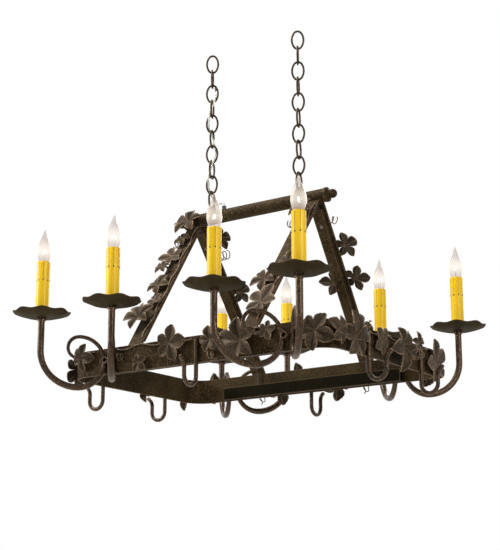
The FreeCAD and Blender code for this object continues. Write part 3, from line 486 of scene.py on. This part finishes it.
# %% [markdown]
# ## Wax, glass, plastic and copper
#
# The candle sleeves are yellow wax over card, streaked from top to bottom. A faint glow of
# their own stands for the light that the wax scatters inside. The bulbs are clear glass round a
# lit filament, so the glass is a pale veil that glows most near the filament. Sockets and hidden
# leads are dark moulded plastic with a fine grain, and the lead in the chain has a clear cover.
# Wax, plastic and bright metal each wander between two close colours, so one function makes them.

# %% How a grained finish is built
def grained(name, dark, light, scale, rough, stretch=(1, 1, 1), depth=0.0002, **constants):
    """A finish that wanders between two colours."""

    def build(recipe):
        grain = recipe.noise(scale, detail=3, stretch=stretch)
        fine = recipe.noise(scale * 4, detail=2)
        return {
            "Base_Color": recipe.mix(grain.clear(0.35, 0.65), paint(*dark), paint(*light)),
            "Roughness": rough + fine * 0.14,
            "Normal": recipe.bump(grain + fine * 0.3, strength=0.5, distance=depth),
        }

    return finish(name, build, **constants)


# %% Wax, plastic and bright metal
wax_shine = {
    "Coat_Weight": 0.12,
    "Coat_Roughness": 0.25,
    "Specular_IOR_Level": 0.25,
    "Subsurface_Weight": 0.10,
    "Subsurface_Scale": 0.004,
}
wax_glow = {"Emission_Color": paint(0.85, 0.49, 0.0), "Emission_Strength": 0.22}
metal = {"Metallic": 1.0}
grained_looks = {
    "candle_sleeve": dict(
        dark=(0.74, 0.48, 0.008), light=(0.88, 0.61, 0.020), scale=110, rough=0.40,
        stretch=(1, 1, 0.06), depth=0.0003, **wax_shine, **wax_glow,
    ),
    # The drips' darker wax and the near-black beads are painted shade.
    "wax_run": dict(dark=(0.30, 0.20, 0.008), light=(0.44, 0.31, 0.015), scale=300, rough=0.45, **wax_glow),
    "wax_nub": dict(dark=(0.020, 0.012, 0.004), light=(0.05, 0.03, 0.01), scale=300, rough=0.45),
    "socket": dict(dark=(0.030, 0.030, 0.030), light=(0.050, 0.048, 0.046), scale=200, rough=0.40),
    "inner_lead": dict(dark=(0.012, 0.010, 0.007), light=(0.022, 0.019, 0.014), scale=300, rough=0.55),
    "inlet": dict(dark=(0.020, 0.018, 0.017), light=(0.040, 0.037, 0.035), scale=240, rough=0.35),
    "clear_lead": dict(
        dark=(0.62, 0.66, 0.62), light=(0.84, 0.86, 0.82), scale=260, rough=0.16,
        stretch=(1, 1, 0.3), depth=0.0001, Coat_Weight=0.6,
    ),
    "copper": dict(dark=(0.55, 0.22, 0.09), light=(0.85, 0.42, 0.22), scale=300, rough=0.22, **metal),
    "brass": dict(dark=(0.42, 0.29, 0.10), light=(0.78, 0.60, 0.28), scale=200, rough=0.22, **metal),
    "support_wire": dict(dark=(0.20, 0.18, 0.16), light=(0.42, 0.40, 0.37), scale=500, rough=0.30, **metal),
}
for name, look in grained_looks.items():
    finishes[name] = grained(name, **look)
print("grained finishes:", sorted(grained_looks))

# %% Glass and glowing wire
bulb_heart = pan_z + sleeve_height + 0.0235
veil, rim_veil, lit_veil = 0.31, 0.62, 0.14


def glass_build(recipe):
    """A pale veil, denser at its rim and lit round the filament."""
    rim = recipe.node("ShaderNodeLayerWeight", {}, {"Blend": 0.30})[1]
    height = recipe.node("ShaderNodeSeparateXYZ", {}, {0: recipe.place()})[2]
    swirl = recipe.noise(70, detail=2)
    lit_from_below = (height - (bulb_heart - 0.022)).clear(0.0, 0.016)
    lit = lit_from_below * (1.0 - (height - bulb_heart).clear(0.004, 0.022))
    return {
        "Base_Color": recipe.mix(swirl, paint(0.09, 0.08, 0.07), paint(0.14, 0.12, 0.11)),
        "Alpha": veil + rim * rim_veil + lit * lit_veil,
        "Emission_Color": recipe.mix(lit, paint(0.40, 0.31, 0.255), paint(1.0, 0.90, 0.78)),
    }


def glow_build(recipe):
    """A filament, white hot in places."""
    heat = recipe.noise(900, detail=1)
    return {"Emission_Color": recipe.mix(heat, paint(1.0, 0.82, 0.55), paint(1.0, 0.96, 0.88))}


finishes["bulb_glass"] = finish(
    "bulb_glass", glass_build, Roughness=0.22, Specular_IOR_Level=0.2, Emission_Strength=0.9
)
finishes["glow"] = finish("glow", glow_build, Base_Color=paint(1, 0.9, 0.75), Emission_Strength=2.0)
print(len(finishes), "finishes")

# %% [markdown]
# ## Finishes on the CAD pieces
#
# Rods, bars, tubes, links and screws are exact in CAD, so they stay and only get their finish.
# Each CAD node names the kind of material that it has, and that name picks the finish here. Only
# the two raceways depart from it: their near-black colour is painted shade, and their wide lighter
# edge is a painted highlight along the top.

# %% Dress the CAD nodes
kinds = {row["node"]: row["material_slot"] for row in frame["record"]["subparts"]}


def dress(piece, finish_name):
    """Gives a piece one finish, and only that."""
    piece.data.materials.clear()
    piece.data.materials.append(finishes[finish_name])


for name, node in nodes.items():
    dress(node, "raceway_painted_shade_and_highlight" if name.startswith("raceway") else kinds[name])
print("dressed", len(nodes), "nodes")


def place_piece(piece, body, replaced=()):
    """Gives a new piece its body and hides the nodes that it stands for."""
    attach(piece, body)
    for node in replaced:
        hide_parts(node)
    print(piece.name, len(piece.data.polygons), "faces")
    return piece


# %% [markdown]
# ## The lead, finished
#
# The lead swings with the chain above the eye and with the rack below it. Two stripped copper
# cores stand out of its free end.

# %% The lead and its bare cores
dress(lead, "clear_lead")
smoothed(lead, degrees=60)
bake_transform(lead)
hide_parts("supply_lead")

core_profile = [(0.00045, -0.002), (0.00042, 0.0010), (0.00045, 0.0026), (0.00020, 0.0030)]
core_aside, core_splay_degrees = 0.0006, 4
core = close_ends(ring_stack("core", core_profile, sides=10))
lead_tip, lead_before = lead_path[-1], lead_path[-2]
tip_turn = (lead_tip - lead_before).to_track_quat("Z", "Y").to_matrix().to_4x4()
cores = []
for side in (-1, 1):
    splay = Matrix.Rotation(side * math.radians(core_splay_degrees), 4, "Y")
    aside = Matrix.Translation((side * core_aside, 0, 0)) @ splay
    cores.append(copy_at(core, Matrix.Translation(lead_tip) @ tip_turn @ aside))
drop(core)
cores = smoothed(joined(cores, "lead_cores"))
dress(cores, "copper")
place_piece(cores, "left_chain")

# %% [markdown]
# ## One lobe of an ivy leaf
#
# Each leaf is cut from sheet iron with a toothed edge, and its five lobes are folded along
# their midribs and dished with a hammer. A lobe starts as a flat grid. Its columns are raised
# towards the edges to make the fold, its rows are narrowed to the lobe's outline, and every
# second row is widened at its ends to make teeth. Rows also rise and fall to dish the lobe.

# %% Shape a lobe from a grid
lobe_rows = 18
lobe_columns = 8
column_slack = 0.01
lobe_widths = [
    0.06, 0.10, 0.17, 0.24, 0.31, 0.38, 0.445, 0.505, 0.56, 0.60, 0.625, 0.635, 0.62, 0.58, 0.52, 0.435,
    0.33, 0.20, 0.05,
]
first_toothed_row = 5
tooth_share = 0.12
tooth_step = 0.018
edge_rub, inner_edge_rub, midrib_rub = 0.95, 0.10, 0.55
rubbed_from = 0.45


def row_of(vertex):
    """The row of the grid that a vertex is in, counted from the stalk."""
    return round(vertex.co.y * lobe_rows)


def lobe(name, fold, dish, curl):
    """A lobe of length 1 along Y. Fold lifts its edges, dish bends it and curl drops its tip."""
    bpy.ops.object.select_all(action="DESELECT")
    bpy.ops.mesh.primitive_grid_add(
        x_subdivisions=lobe_columns, y_subdivisions=lobe_rows, size=1, location=(0, 0.5, 0)
    )
    piece = named(bpy.context.object, name)
    bpy.ops.object.transform_apply(location=True)
    choose(piece)
    rows = [[v.index for v in piece.data.vertices if row_of(v) == row] for row in range(lobe_rows + 1)]
    sides = {v.index for v in piece.data.vertices if abs(v.co.x) > 0.5 - column_slack}
    midrib = {v.index for v in piece.data.vertices if abs(v.co.x) < column_slack}
    for column in range(1, lobe_columns // 2 + 1):
        across = column / lobe_columns
        pick(piece, lambda v: abs(abs(v.co.x) - across) < column_slack)
        lift = fold * (1 - (1 - 2 * across) ** 2) * 0.5
        bpy.ops.transform.translate(value=(0, 0, lift))
    for row, width in enumerate(lobe_widths):
        along = row / lobe_rows
        members = set(rows[row])
        pick(piece, lambda v: v.index in members)
        bpy.ops.transform.resize(value=(width, 1, width), center_override=(0, along, 0))
        rise = dish * math.sin(math.pi * along) - curl * along**3
        bpy.ops.transform.translate(value=(0, 0, rise))
        if first_toothed_row <= row < lobe_rows and row % 2:
            ends = members & sides
            pick(piece, lambda v: v.index in ends)
            bpy.ops.transform.resize(value=(1 + tooth_share, 1, 1), center_override=(0, along, 0))
            bpy.ops.transform.translate(value=(0, tooth_step, 0))
    bpy.ops.object.mode_set(mode="OBJECT")
    rub_and_highlight = piece.data.attributes.new("rub_and_highlight", "FLOAT", "POINT")
    for index in midrib:
        rub_and_highlight.data[index].value = midrib_rub
    for row, members in enumerate(rows):
        for index in sides.intersection(members):
            rub_and_highlight.data[index].value = edge_rub if row > lobe_rows * rubbed_from else inner_edge_rub
    return piece


# %% [markdown]
# ## Three leaves
#
# Five copies of a lobe, turned about the stalk and scaled to their own lengths, make a leaf. No
# two hammered leaves are alike, so there are three patterns: one dished, one that curls back
# and one nearly flat. Each lobe also tips up or down a little. The post and the stalk are made
# one metre long, to be squeezed to each leaf's own height and reach.

# %% Leaf patterns of size 1
# Turn in degrees and length of each lobe. Then name, fold, dish, curl and the lobes' tips.
lobe_turns = [(142, 0.42), (70, 0.50), (0, 0.58), (-70, 0.50), (-142, 0.42)]
leaf_looks = [
    ("dished_leaf", 0.54, 0.06, 0.03, (6, 2, -4, 5, 1)),
    ("curled_leaf", 0.46, 0.03, 0.11, (2, 7, 3, -3, 6)),
    ("flat_leaf", 0.38, -0.03, -0.03, (-2, 4, 6, 1, -4)),
]


def leaf_pattern(name, fold, dish, curl, tips):
    """Five lobes about the stalk."""
    shaped = lobe(name + "_lobe", fold, dish, curl)
    lobes = []
    for (degrees, length), tip in zip(lobe_turns, tips):
        turn = Matrix.Rotation(-math.radians(degrees), 4, "Z")
        tilt = Matrix.Rotation(math.radians(tip), 4, "X")
        lobes.append(copy_at(shaped, turn @ tilt @ Matrix.Scale(length, 4)))
    drop(shaped)
    return joined(lobes, name)


leaf_patterns = [leaf_pattern(*look) for look in leaf_looks]
post_profile = [(0.0036, 0), (0.0030, 0.12), (0.0025, 0.35), (0.0023, 0.92), (0.0010, 1.02)]
stalk_profile = [(0.0017, 0), (0.0015, 0.3), (0.0013, 0.7), (0.0011, 1)]
post = close_ends(ring_stack("post", post_profile, sides=12))
stalk = close_ends(ring_stack("stalk", stalk_profile, sides=10))
print("a leaf has", len(leaf_patterns[0].data.polygons), "faces")

# %% [markdown]
# ## Where the leaves go
#
# These tables repeat the places of the CAD leaves. A leaf on the band is placed by shares of its
# side's half length and of the band's height, and one on a strut by its way down the strut. Each
# has a size, a turn and a layer, and stands off the iron on a short welded post. The last number
# of a row sets the post aside from the leaf's middle, where the iron under the middle ends.

# %% Sizes and faces of the frame
half_length, half_width = 0.303, 0.207
band_height, band_thickness = 0.0508, 0.005
band_top = band_z + band_height / 2
strut_width, strut_thickness = 0.033, 0.004
strut_ridge_x, strut_band_x = 0.144, 0.133
large, big, middling, small = 0.086, 0.072, 0.056, 0.038
leaf_stand, leaf_layer = 0.0055, 0.0045
leaf_sheet = 0.0012
post_drop_share = 0.45
shortest_stalk = 0.0024
along_x, across_y, up_z = Vector((1, 0, 0)), Vector((0, 1, 0)), Vector((0, 0, 1))


def face_frame(origin, across, up):
    """A matrix whose x runs across a face, y up it and z out of it."""
    matrix = Matrix((across, up, across.cross(up))).transposed().to_4x4()
    matrix.translation = origin
    return matrix


def strut_face(x_side, y_side):
    """The outer face of a strut, its length and how far it leans."""
    foot = Vector((x_side * strut_band_x, y_side * (half_width - band_thickness / 2), band_top))
    rise = Vector((0, -foot.y, ridge_z - foot.z))
    length = rise.length
    up = rise.normalized()
    out = Vector((0, y_side * up.z, -y_side * up.y))
    across = up.cross(out)
    lean = x_side * (strut_ridge_x - strut_band_x) / length
    return face_frame(foot + out * (strut_thickness / 2), across, up), length, lean * across.x


band_faces = {
    "near": (face_frame(Vector((0, -half_width, band_z)), along_x, up_z), half_length),
    "far": (face_frame(Vector((0, half_width, band_z)), -along_x, up_z), half_length),
    "left": (face_frame(Vector((-half_length, 0, band_z)), -across_y, up_z), half_width),
    "right": (face_frame(Vector((half_length, 0, band_z)), across_y, up_z), half_width),
}
print("band faces:", sorted(band_faces))

# %% Tables of leaves
# Along, up, size, turn in degrees, layer, tips in degrees, post aside.
band_leaves = {
    "near": [
        (-0.862, 0.28, middling, -100, 0, (6, -6), 0.22),
        (-0.390, -0.22, small, -130, 0, (0, 0), 0),
        (-0.135, 0.30, big, -85, 1, (4, 3), 0),
        (0.165, 0.24, middling, -60, 0, (-4, 0), 0),
        (0.400, 0.06, large, 80, 1, (0, -4), 0),
        (0.580, 0.34, small, 200, 0, (3, 0), 0),
        (0.915, 0.05, big, -115, 1, (0, 4), -0.28),
    ],
    "far": [
        (-0.90, 0.04, big, 200, 0, (0, 0), 0.30),
        (-0.50, 0.10, middling, 30, 0, (0, 0), 0),
        (-0.17, -0.12, big, 175, 1, (0, 0), 0),
        (0.125, 0.20, middling, -10, 0, (0, 3), 0),
        (0.29, -0.04, big, 170, 1, (3, 0), 0),
        (0.50, 0.10, small, 60, 0, (0, 0), 0),
        (0.90, 0.05, big, 15, 1, (0, 0), -0.30),
    ],
    "left": [
        (-0.84, 0.02, big, 170, 0, (0, 5), 0.22),
        (-0.18, -0.16, middling, 185, 0, (3, 0), 0),
        (0.14, 0.16, big, 25, 1, (0, -4), 0),
        (0.84, 0.02, big, 150, 0, (0, 0), -0.22),
    ],
    "right": [
        (-0.90, 0.06, middling, 60, 0, (0, 0), 0.40),
        (-0.67, -0.06, large, 5, 1, (0, -2), 0.10),
        (-0.19, 0.14, middling, 50, 0, (3, 0), 0),
        (0.145, 0.22, large, 178, 1, (0, 0), 0),
        (0.40, 0.45, small, 8, 2, (0, 0), -0.10),
        (0.82, -0.06, large, 25, 0, (0, 4), -0.20),
    ],
}
# Strut in x and y, aside, down, size, turn in degrees, layer, post aside.
strut_leaves = [
    (-1, -1, -0.25, 0.06, big, 75, 2, 0.20),
    (-1, -1, -0.70, 0.17, small, -150, 0, 0.30),
    (-1, -1, -0.75, 0.32, middling, 100, 0, 0.40),
    (-1, -1, -1.10, 0.42, small, 70, 1, 0.60),
    (-1, -1, -0.75, 0.56, middling, -20, 0, 0.40),
    (-1, -1, -0.10, 0.68, small, -110, 0, 0),
    (-1, -1, -0.85, 0.82, big, 25, 1, 0.50),
    (1, -1, -0.30, 0.14, middling, 40, 2, 0.20),
    (1, -1, 0.40, 0.33, small, -40, 0, -0.20),
    (1, -1, 1.30, 0.55, middling, -80, 0, -1.00),
    (1, -1, -0.85, 0.66, middling, 110, 0, 0.40),
    (1, -1, 0.45, 0.85, big, -25, 1, -0.30),
    (-1, 1, -1.20, 0.14, middling, 90, 2, 0.80),
    (-1, 1, -1.40, 0.48, middling, 70, 0, 0.90),
    (-1, 1, 0.60, 0.34, small, -60, 0, -0.40),
    (-1, 1, 0.10, 0.78, big, 170, 0, 0),
    (1, 1, -1.60, 0.31, middling, 75, 0, 1.00),
    (1, 1, -1.50, 0.51, middling, 100, 1, 0.90),
    (1, 1, 1.40, 0.52, middling, -70, 0, -1.10),
    (1, 1, -0.10, 0.82, big, 5, 0, 0),
]


# %% Place a leaf with its post and stalk
def leaf_at(index, face, across, up, size, turn, level, tip, boss):
    """The blade, post and stalk of one leaf on a face."""
    stand = leaf_stand + level * leaf_layer
    hang = Matrix.Translation((across + boss[0], up + boss[1], stand))
    tilt = Matrix.Rotation(math.radians(tip[1]), 4, "Y") @ Matrix.Rotation(math.radians(tip[0]), 4, "X")
    reach = Vector((-boss[0], -boss[1], 0))
    turned = Matrix.Translation(reach) @ Matrix.Rotation(math.radians(turn), 4, "Z") @ Matrix.Scale(size, 4)
    blade = copy_at(leaf_patterns[index % len(leaf_patterns)], face @ hang @ tilt @ turned)
    foot = Matrix.Translation((across + boss[0], up + boss[1], 0))
    standing = copy_at(post, face @ foot @ Matrix.Diagonal((1, 1, stand, 1)))
    parts = [standing]
    if reach.length > shortest_stalk:
        aim = reach.to_track_quat("Z", "Y").to_matrix().to_4x4()
        parts.append(copy_at(stalk, face @ hang @ tilt @ aim @ Matrix.Diagonal((1, 1, reach.length, 1))))
    return blade, parts


def leaf_piece(name, node, placed):
    """One side's leaves as one piece: blades given their thickness, then posts and stalks."""
    blades = joined([blade for blade, _ in placed], name)
    modified(blades, "SOLIDIFY", thickness=leaf_sheet, offset=0)
    piece = joined([blades] + [part for _, parts in placed for part in parts], name)
    smoothed(piece, degrees=50)
    dress(piece, "leaf_iron")
    return place_piece(piece, "rack", [node])


# %% Leaves on the four sides of the band
leaf_count = 0
for side, table in band_leaves.items():
    face, half = band_faces[side]
    placed = []
    for along_share, up_share, size, turn, level, tip, boss_share in table:
        up = up_share * band_height
        boss = (boss_share * size, -post_drop_share * up)
        placed.append(leaf_at(leaf_count, face, along_share * half, up, size, turn, level, tip, boss))
        leaf_count += 1
    leaf_piece("ivy_" + side, "leaves_" + side, placed)

# %% Leaves on the struts
placed = []
for x_side, y_side, aside_share, down_share, size, turn, level, boss_share in strut_leaves:
    face, length, lean = strut_face(x_side, y_side)
    up = length * (1 - down_share)
    aside = aside_share * strut_width / 2 + lean * up
    boss = (boss_share * strut_width / 2, 0)
    placed.append(leaf_at(leaf_count, face, aside, up, size, turn, level, (0, 0), boss))
    leaf_count += 1
leaf_piece("ivy_struts", "leaves_struts", placed)
drop(post, stalk, *leaf_patterns)
print(leaf_count, "leaves")

# %% [markdown]
# ## Drip pans
#
# Each pan is a shallow dish with a fluted rim, spun from sheet and pinched into eight waves. The
# dish is raised ring by ring from the hole for the lamp pipe. From the edge of its floor
# outwards, each new ring is lifted a little more at the crests and drawn in at the hollows, so
# the flutes grow smoothly towards the rim. A solidify modifier gives the sheet's thickness.

# %% Where the lamps stand
lamp_y = 0.291
lamps = {
    side + "_" + place: (x_side * reach, y_side * lamp_y)
    for side, x_side, y_side in (
        ("near_left", -1, -1), ("near_right", 1, -1), ("far_left", -1, 1), ("far_right", 1, 1)
    )
    for place, reach in (("outer", 0.297), ("inner", 0.118))
}
print(len(lamps), "lamps")

# %% One pan
pan_sides = 96
pan_waves = 8
pan_sheet = 0.0015
# Radius, height and how far the flutes have grown, ring by ring.
pan_rings = [
    (0.0049, 0, 0), (0.010, 0, 0), (0.018, 0, 0), (0.026, 0.0001, 0), (0.031, 0.0005, 0.04),
    (0.036, 0.0014, 0.10), (0.041, 0.0028, 0.20), (0.046, 0.0046, 0.36), (0.050, 0.0063, 0.56),
    (0.053, 0.0077, 0.78), (0.0545, 0.0084, 0.90), (0.0558, 0.0089, 1.0),
]
wave_height, wave_depth = 0.0016, 0.0016
pan_turn = 0.2


def wave_class(vertex):
    """How far a vertex is from the nearest crest, counted in sides."""
    step = round(math.atan2(vertex.co.y, vertex.co.x) / (2 * math.pi) * pan_sides)
    from_crest = step % (pan_sides // pan_waves)
    return min(from_crest, pan_sides // pan_waves - from_crest)


def flute(piece, radius, share):
    """Lifts the crests of the newest ring and draws in its hollows."""
    ring = picked(piece)
    half_wave = pan_sides // pan_waves // 2
    for step in range(half_wave + 1):
        wave = math.cos(math.pi * step / half_wave)
        pick(piece, lambda v: v.index in ring and wave_class(v) == step)
        bpy.ops.transform.translate(value=(0, 0, wave_height * wave * share))
        drawn = 1 - wave_depth * (1 - wave) / 2 * share / radius
        bpy.ops.transform.resize(value=(drawn, drawn, 1), center_override=(0, 0, 0))
    pick(piece, lambda v: v.index in ring)


def pan():
    """A dish about Z with its floor at zero."""
    bpy.ops.object.select_all(action="DESELECT")
    bpy.ops.mesh.primitive_circle_add(vertices=pan_sides, radius=pan_rings[0][0], location=(0, 0, 0))
    piece = named(bpy.context.object, "pan")
    bpy.ops.object.mode_set(mode="EDIT")
    bpy.ops.mesh.select_all(action="SELECT")
    for (radius, height, share), (next_radius, next_height, next_share) in zip(pan_rings, pan_rings[1:]):
        bpy.ops.mesh.extrude_region_move(TRANSFORM_OT_translate={"value": (0, 0, next_height - height)})
        scale = next_radius / radius
        bpy.ops.transform.resize(value=(scale, scale, 1), center_override=(0, 0, 0))
        if next_share > share:
            flute(piece, next_radius, next_share - share)
    bpy.ops.mesh.select_all(action="SELECT")
    bpy.ops.mesh.normals_make_consistent(inside=False)
    bpy.ops.object.mode_set(mode="OBJECT")
    modified(piece, "SOLIDIFY", thickness=pan_sheet, offset=0)
    modified(piece, "BEVEL", width=0.0004, segments=2, limit_method="ANGLE", angle_limit=math.radians(50))
    return piece


# %% A pan under each lamp
one_pan = pan()
pans = []
for index, (x, y) in enumerate(lamps.values()):
    turned = Matrix.Rotation(pan_turn * index, 4, "Z")
    pans.append(copy_at(one_pan, Matrix.Translation((x, y, pan_z - pan_sheet / 2)) @ turned))
drop(one_pan)
pans = smoothed(joined(pans, "pans"))
dress(pans, "pan_iron")
place_piece(pans, "rack", ["drip_pans"])

# %% [markdown]
# ## Candle sleeves
#
# A sleeve is a tube of card dipped in wax. Eight drips run down from its rim and end in beads at
# nearly one height. The drips are darker than the sleeve and the beads nearly black, which is
# painted shade for the shadow beside each drip and under its bead. The tube is raised ring by
# ring with a rounded rim, and one drip is made, copied round it and set a little into its wall.

# %% One drip
sleeve_radius, sleeve_bore = 0.0127, 0.0107
drip_count = 8
drip_lengths = [0.0375, 0.0371, 0.0379]
drip_inset, drip_below_rim = 0.0007, 0.0005
nub_top = 0.0014
drip_profile = [
    (0.0006, -0.0018), (0.0013, -0.0012), (0.0017, 0), (0.0015, 0.0010), (0.0011, 0.0025), (0.0010, 0.0080),
    (0.0010, 0.0200), (0.0011, 0.0300), (0.0012, 0.0355), (0.0006, 0.0371),
]
drip = close_ends(ring_stack("drip", drip_profile, sides=10))
dress(drip, "wax_run")
# The bead at each drip's foot gets the near-black painted shade.
drip.data.materials.append(finishes["wax_nub"])
choose(drip)
pick(drip, lambda v: v.co.z < nub_top)
drip.active_material_index = 1
bpy.ops.object.material_slot_assign()
bpy.ops.object.mode_set(mode="OBJECT")

# %% One sleeve, and a copy at each lamp
tube_profile = [
    (sleeve_radius, 0),
    (sleeve_radius, 0.030),
    (sleeve_radius, 0.060),
    (sleeve_radius, sleeve_height - 0.004),
    (0.01262, sleeve_height - 0.0014),
    (0.0122, sleeve_height - 0.0003),
    (0.0116, sleeve_height),
    (0.0110, sleeve_height - 0.0004),
    (sleeve_bore, sleeve_height - 0.0014),
    (sleeve_bore, 0.060),
    (sleeve_bore, 0),
]
tube = ring_stack("tube", tube_profile, sides=64)
choose(tube)
bpy.ops.object.mode_set(mode="EDIT")
pick(tube, lambda v: abs(v.co.z) < 0.0001)
bpy.ops.mesh.bridge_edge_loops()
bpy.ops.mesh.select_all(action="SELECT")
bpy.ops.mesh.normals_make_consistent(inside=False)
bpy.ops.object.mode_set(mode="OBJECT")
dress(tube, "candle_sleeve")
runs = []
for index in range(drip_count):
    length = drip_lengths[index % len(drip_lengths)]
    move = Matrix.Translation((sleeve_radius - drip_inset, 0, sleeve_height - length - drip_below_rim))
    runs.append(copy_at(drip, Matrix.Rotation(2 * math.pi * index / drip_count, 4, "Z") @ move))
one_sleeve = smoothed(joined([tube] + runs, "sleeve"))
for name, (x, y) in lamps.items():
    copy = named(copy_at(one_sleeve, Matrix.Translation((x, y, pan_z))), "candle_" + name)
    place_piece(copy, "rack", ["sleeve_" + name])
drop(drip, one_sleeve)

# %% [markdown]
# ## Bulbs
#
# Each bulb is a flame of clear glass on a brass screw base. Inside stand a stem, two support
# wires and a lit filament, which is a row of glowing beads along an arch. The glass is a stack
# of rings, smoothed by subdivision, with its tip drawn out and bent a little, as when the glass
# is sealed by hand.

# %% The glass
glass_low, glass_reach, glass_radius = sleeve_height - 0.018, 0.083, 0.0146
# Height and radius of each ring, as shares.
glass_shares = [
    (0.00, 0.40), (0.05, 0.46), (0.12, 0.52), (0.23, 0.66), (0.36, 0.92), (0.47, 1.0),
    (0.60, 0.88), (0.72, 0.60), (0.83, 0.34), (0.91, 0.19), (0.97, 0.11), (0.995, 0.05),
]
glass_profile = [(glass_radius * share, glass_low + glass_reach * height) for height, share in glass_shares]
glass = close_ends(ring_stack("glass", glass_profile, sides=24))
choose(glass)
bpy.ops.object.mode_set(mode="EDIT")
tip_bends = [(0.88, 0.0003), (0.94, 0.0006), (0.98, 0.0008)]
for share, step in tip_bends:
    low = glass_low + glass_reach * share
    pick(glass, lambda v: v.co.z > low)
    bpy.ops.transform.translate(value=(step, 0, 0))
bpy.ops.object.mode_set(mode="OBJECT")
modified(glass, "SUBSURF", levels=2, render_levels=2)
smoothed(glass, degrees=80)
dress(glass, "bulb_glass")

# %% The base and the stem
thread_turns, thread_pitch, thread_low = 6, 0.0022, -0.0168
thread_crest, thread_root = 0.0058, 0.0053
base_profile = [(0.0020, -0.0198), (0.0048, -0.0190), (0.0056, -0.0175)]
for turn in range(thread_turns):
    low = turn * thread_pitch + thread_low
    base_profile += [(thread_crest, low), (thread_root, low + thread_pitch / 2)]
base_profile += [(0.0056, -0.0018), (0.0050, -0.0002)]
base = smoothed(close_ends(ring_stack("base", base_profile, sides=32)))
dress(base, "brass")
stem_profile = [(0.0034, -0.001), (0.0022, 0.004), (0.0012, 0.012), (0.0008, 0.016)]
stem = smoothed(close_ends(ring_stack("stem", stem_profile, sides=16)))
dress(stem, "support_wire")

# %% The wires and the filament
wire_low, wire_lean = 0.013, 0.16
wire_profile = [(0.0004, 0), (0.0004, 0.012), (0.0003, 0.023)]
wire = close_ends(ring_stack("wire", wire_profile, sides=8))
dress(wire, "support_wire")
wires = []
for side in (-1, 1):
    leaned = Matrix.Rotation(side * wire_lean, 4, "Y")
    wires.append(copy_at(wire, Matrix.Translation((0, 0, wire_low)) @ leaned))
filament_beads, filament_reach = 7, 0.0038
filament_low, filament_rise = 0.0355, 0.0065
bead_profile = [(0.0003, -0.0017), (0.0010, -0.0009), (0.0013, 0), (0.0010, 0.0009), (0.0003, 0.0017)]
bead = close_ends(ring_stack("bead", bead_profile, sides=10))
dress(bead, "glow")
beads = []
for index in range(filament_beads):
    angle = math.pi * index / (filament_beads - 1)
    x, height = filament_reach * math.cos(angle), filament_low + filament_rise * math.sin(angle)
    beads.append(copy_at(bead, Matrix.Translation((x, 0, height)) @ Matrix.Rotation(angle, 4, "Y")))
inside = joined([base, stem] + wires + beads, "bulb_inside")
drop(wire, bead)

# %% A bulb at each lamp
bulb_turn = 0.9
for index, (name, (x, y)) in enumerate(lamps.items()):
    turn = Matrix.Translation((x, y, pan_z)) @ Matrix.Rotation(bulb_turn * index, 4, "Z")
    body = "lamp_" + name
    place_piece(named(copy_at(glass, turn), "glass_" + name), body, ["bulb_" + name])
    raised = turn @ Matrix.Translation((0, 0, glass_low))
    place_piece(named(copy_at(inside, raised), "filament_" + name), body)
drop(glass, inside)

# %% [markdown]
# ## Room and light
#
# The photo shows the rack on white. A pale floor lies far below. The camera and the reflections
# see a white world and a floor that glows, while all other rays meet a dim world and a plain
# floor. So the background is seen and mirrored, but it lights nothing. A few soft boxes light
# the iron from above and from both sides, and the small ones draw a bright line along each rod.

# %% Floor
floor_side, floor_z = 12, -1.85
bpy.ops.object.select_all(action="DESELECT")
bpy.ops.mesh.primitive_plane_add(size=floor_side, location=(0, 0, floor_z))
floor = named(bpy.context.object, "floor")
bpy.ops.object.transform_apply(location=True)


def seen(recipe):
    """1 for what the camera sees, also as a reflection or through glass, and 0 for other light."""
    rays = {output.socket.name: output for output in recipe.node("ShaderNodeLightPath")}
    return rays["Is Camera Ray"].or_more(rays["Is Transmission Ray"]).or_more(rays["Is Glossy Ray"])


def pale_floor(recipe):
    """A nearly even pale grey that glows where it is seen."""
    cloud = recipe.noise(3, detail=2)
    return {
        "Base_Color": recipe.mix(cloud, paint(0.80, 0.80, 0.79), paint(0.84, 0.84, 0.83)),
        "Emission_Color": recipe.mix(seen(recipe), paint(0, 0, 0), paint(0.58, 0.58, 0.59)),
    }


floor.data.materials.append(finish("floor", pale_floor, Roughness=0.8, Emission_Strength=1.0))

# %% White world
world = bpy.data.worlds.new("room")
world.use_nodes = True
bpy.context.scene.world = world
room = Recipe(world.node_tree)
dim = room.node("ShaderNodeBackground", {}, {"Color": paint(1.0, 0.97, 0.88), "Strength": 0.15})[0]
white = room.node("ShaderNodeBackground", {}, {"Color": paint(1, 1, 1), "Strength": 1.0})[0]
mixed = room.node("ShaderNodeMixShader", {}, {0: seen(room), 1: dim, 2: white})[0]
room.feed(world.node_tree.nodes["World Output"].inputs["Surface"], mixed)


# %% Soft boxes
box_colour, box_aim = (1.0, 0.95, 0.86), Vector((0, 0, -0.55))


def soft_box(name, place, size, power):
    """A square lamp aimed at the middle of the rack."""
    bpy.ops.object.light_add(type="AREA", location=place)
    lamp = bpy.context.object
    lamp.name = name
    lamp.data.size = size
    lamp.data.energy = power
    lamp.data.color = box_colour
    aim = box_aim - Vector(place)
    lamp.rotation_euler = aim.to_track_quat("-Z", "Y").to_euler()


soft_box("top_box", place=(-1.1, -0.9, 1.6), size=1.2, power=72)
soft_box("left_box", place=(-2.4, -1.6, 0.0), size=0.4, power=38)
soft_box("right_box", place=(2.6, -0.8, 0.1), size=0.4, power=30)
soft_box("low_box", place=(0.2, -2.4, -1.5), size=0.8, power=5)
soft_box("back_box", place=(-0.8, 2.4, 0.8), size=1.2, power=40)
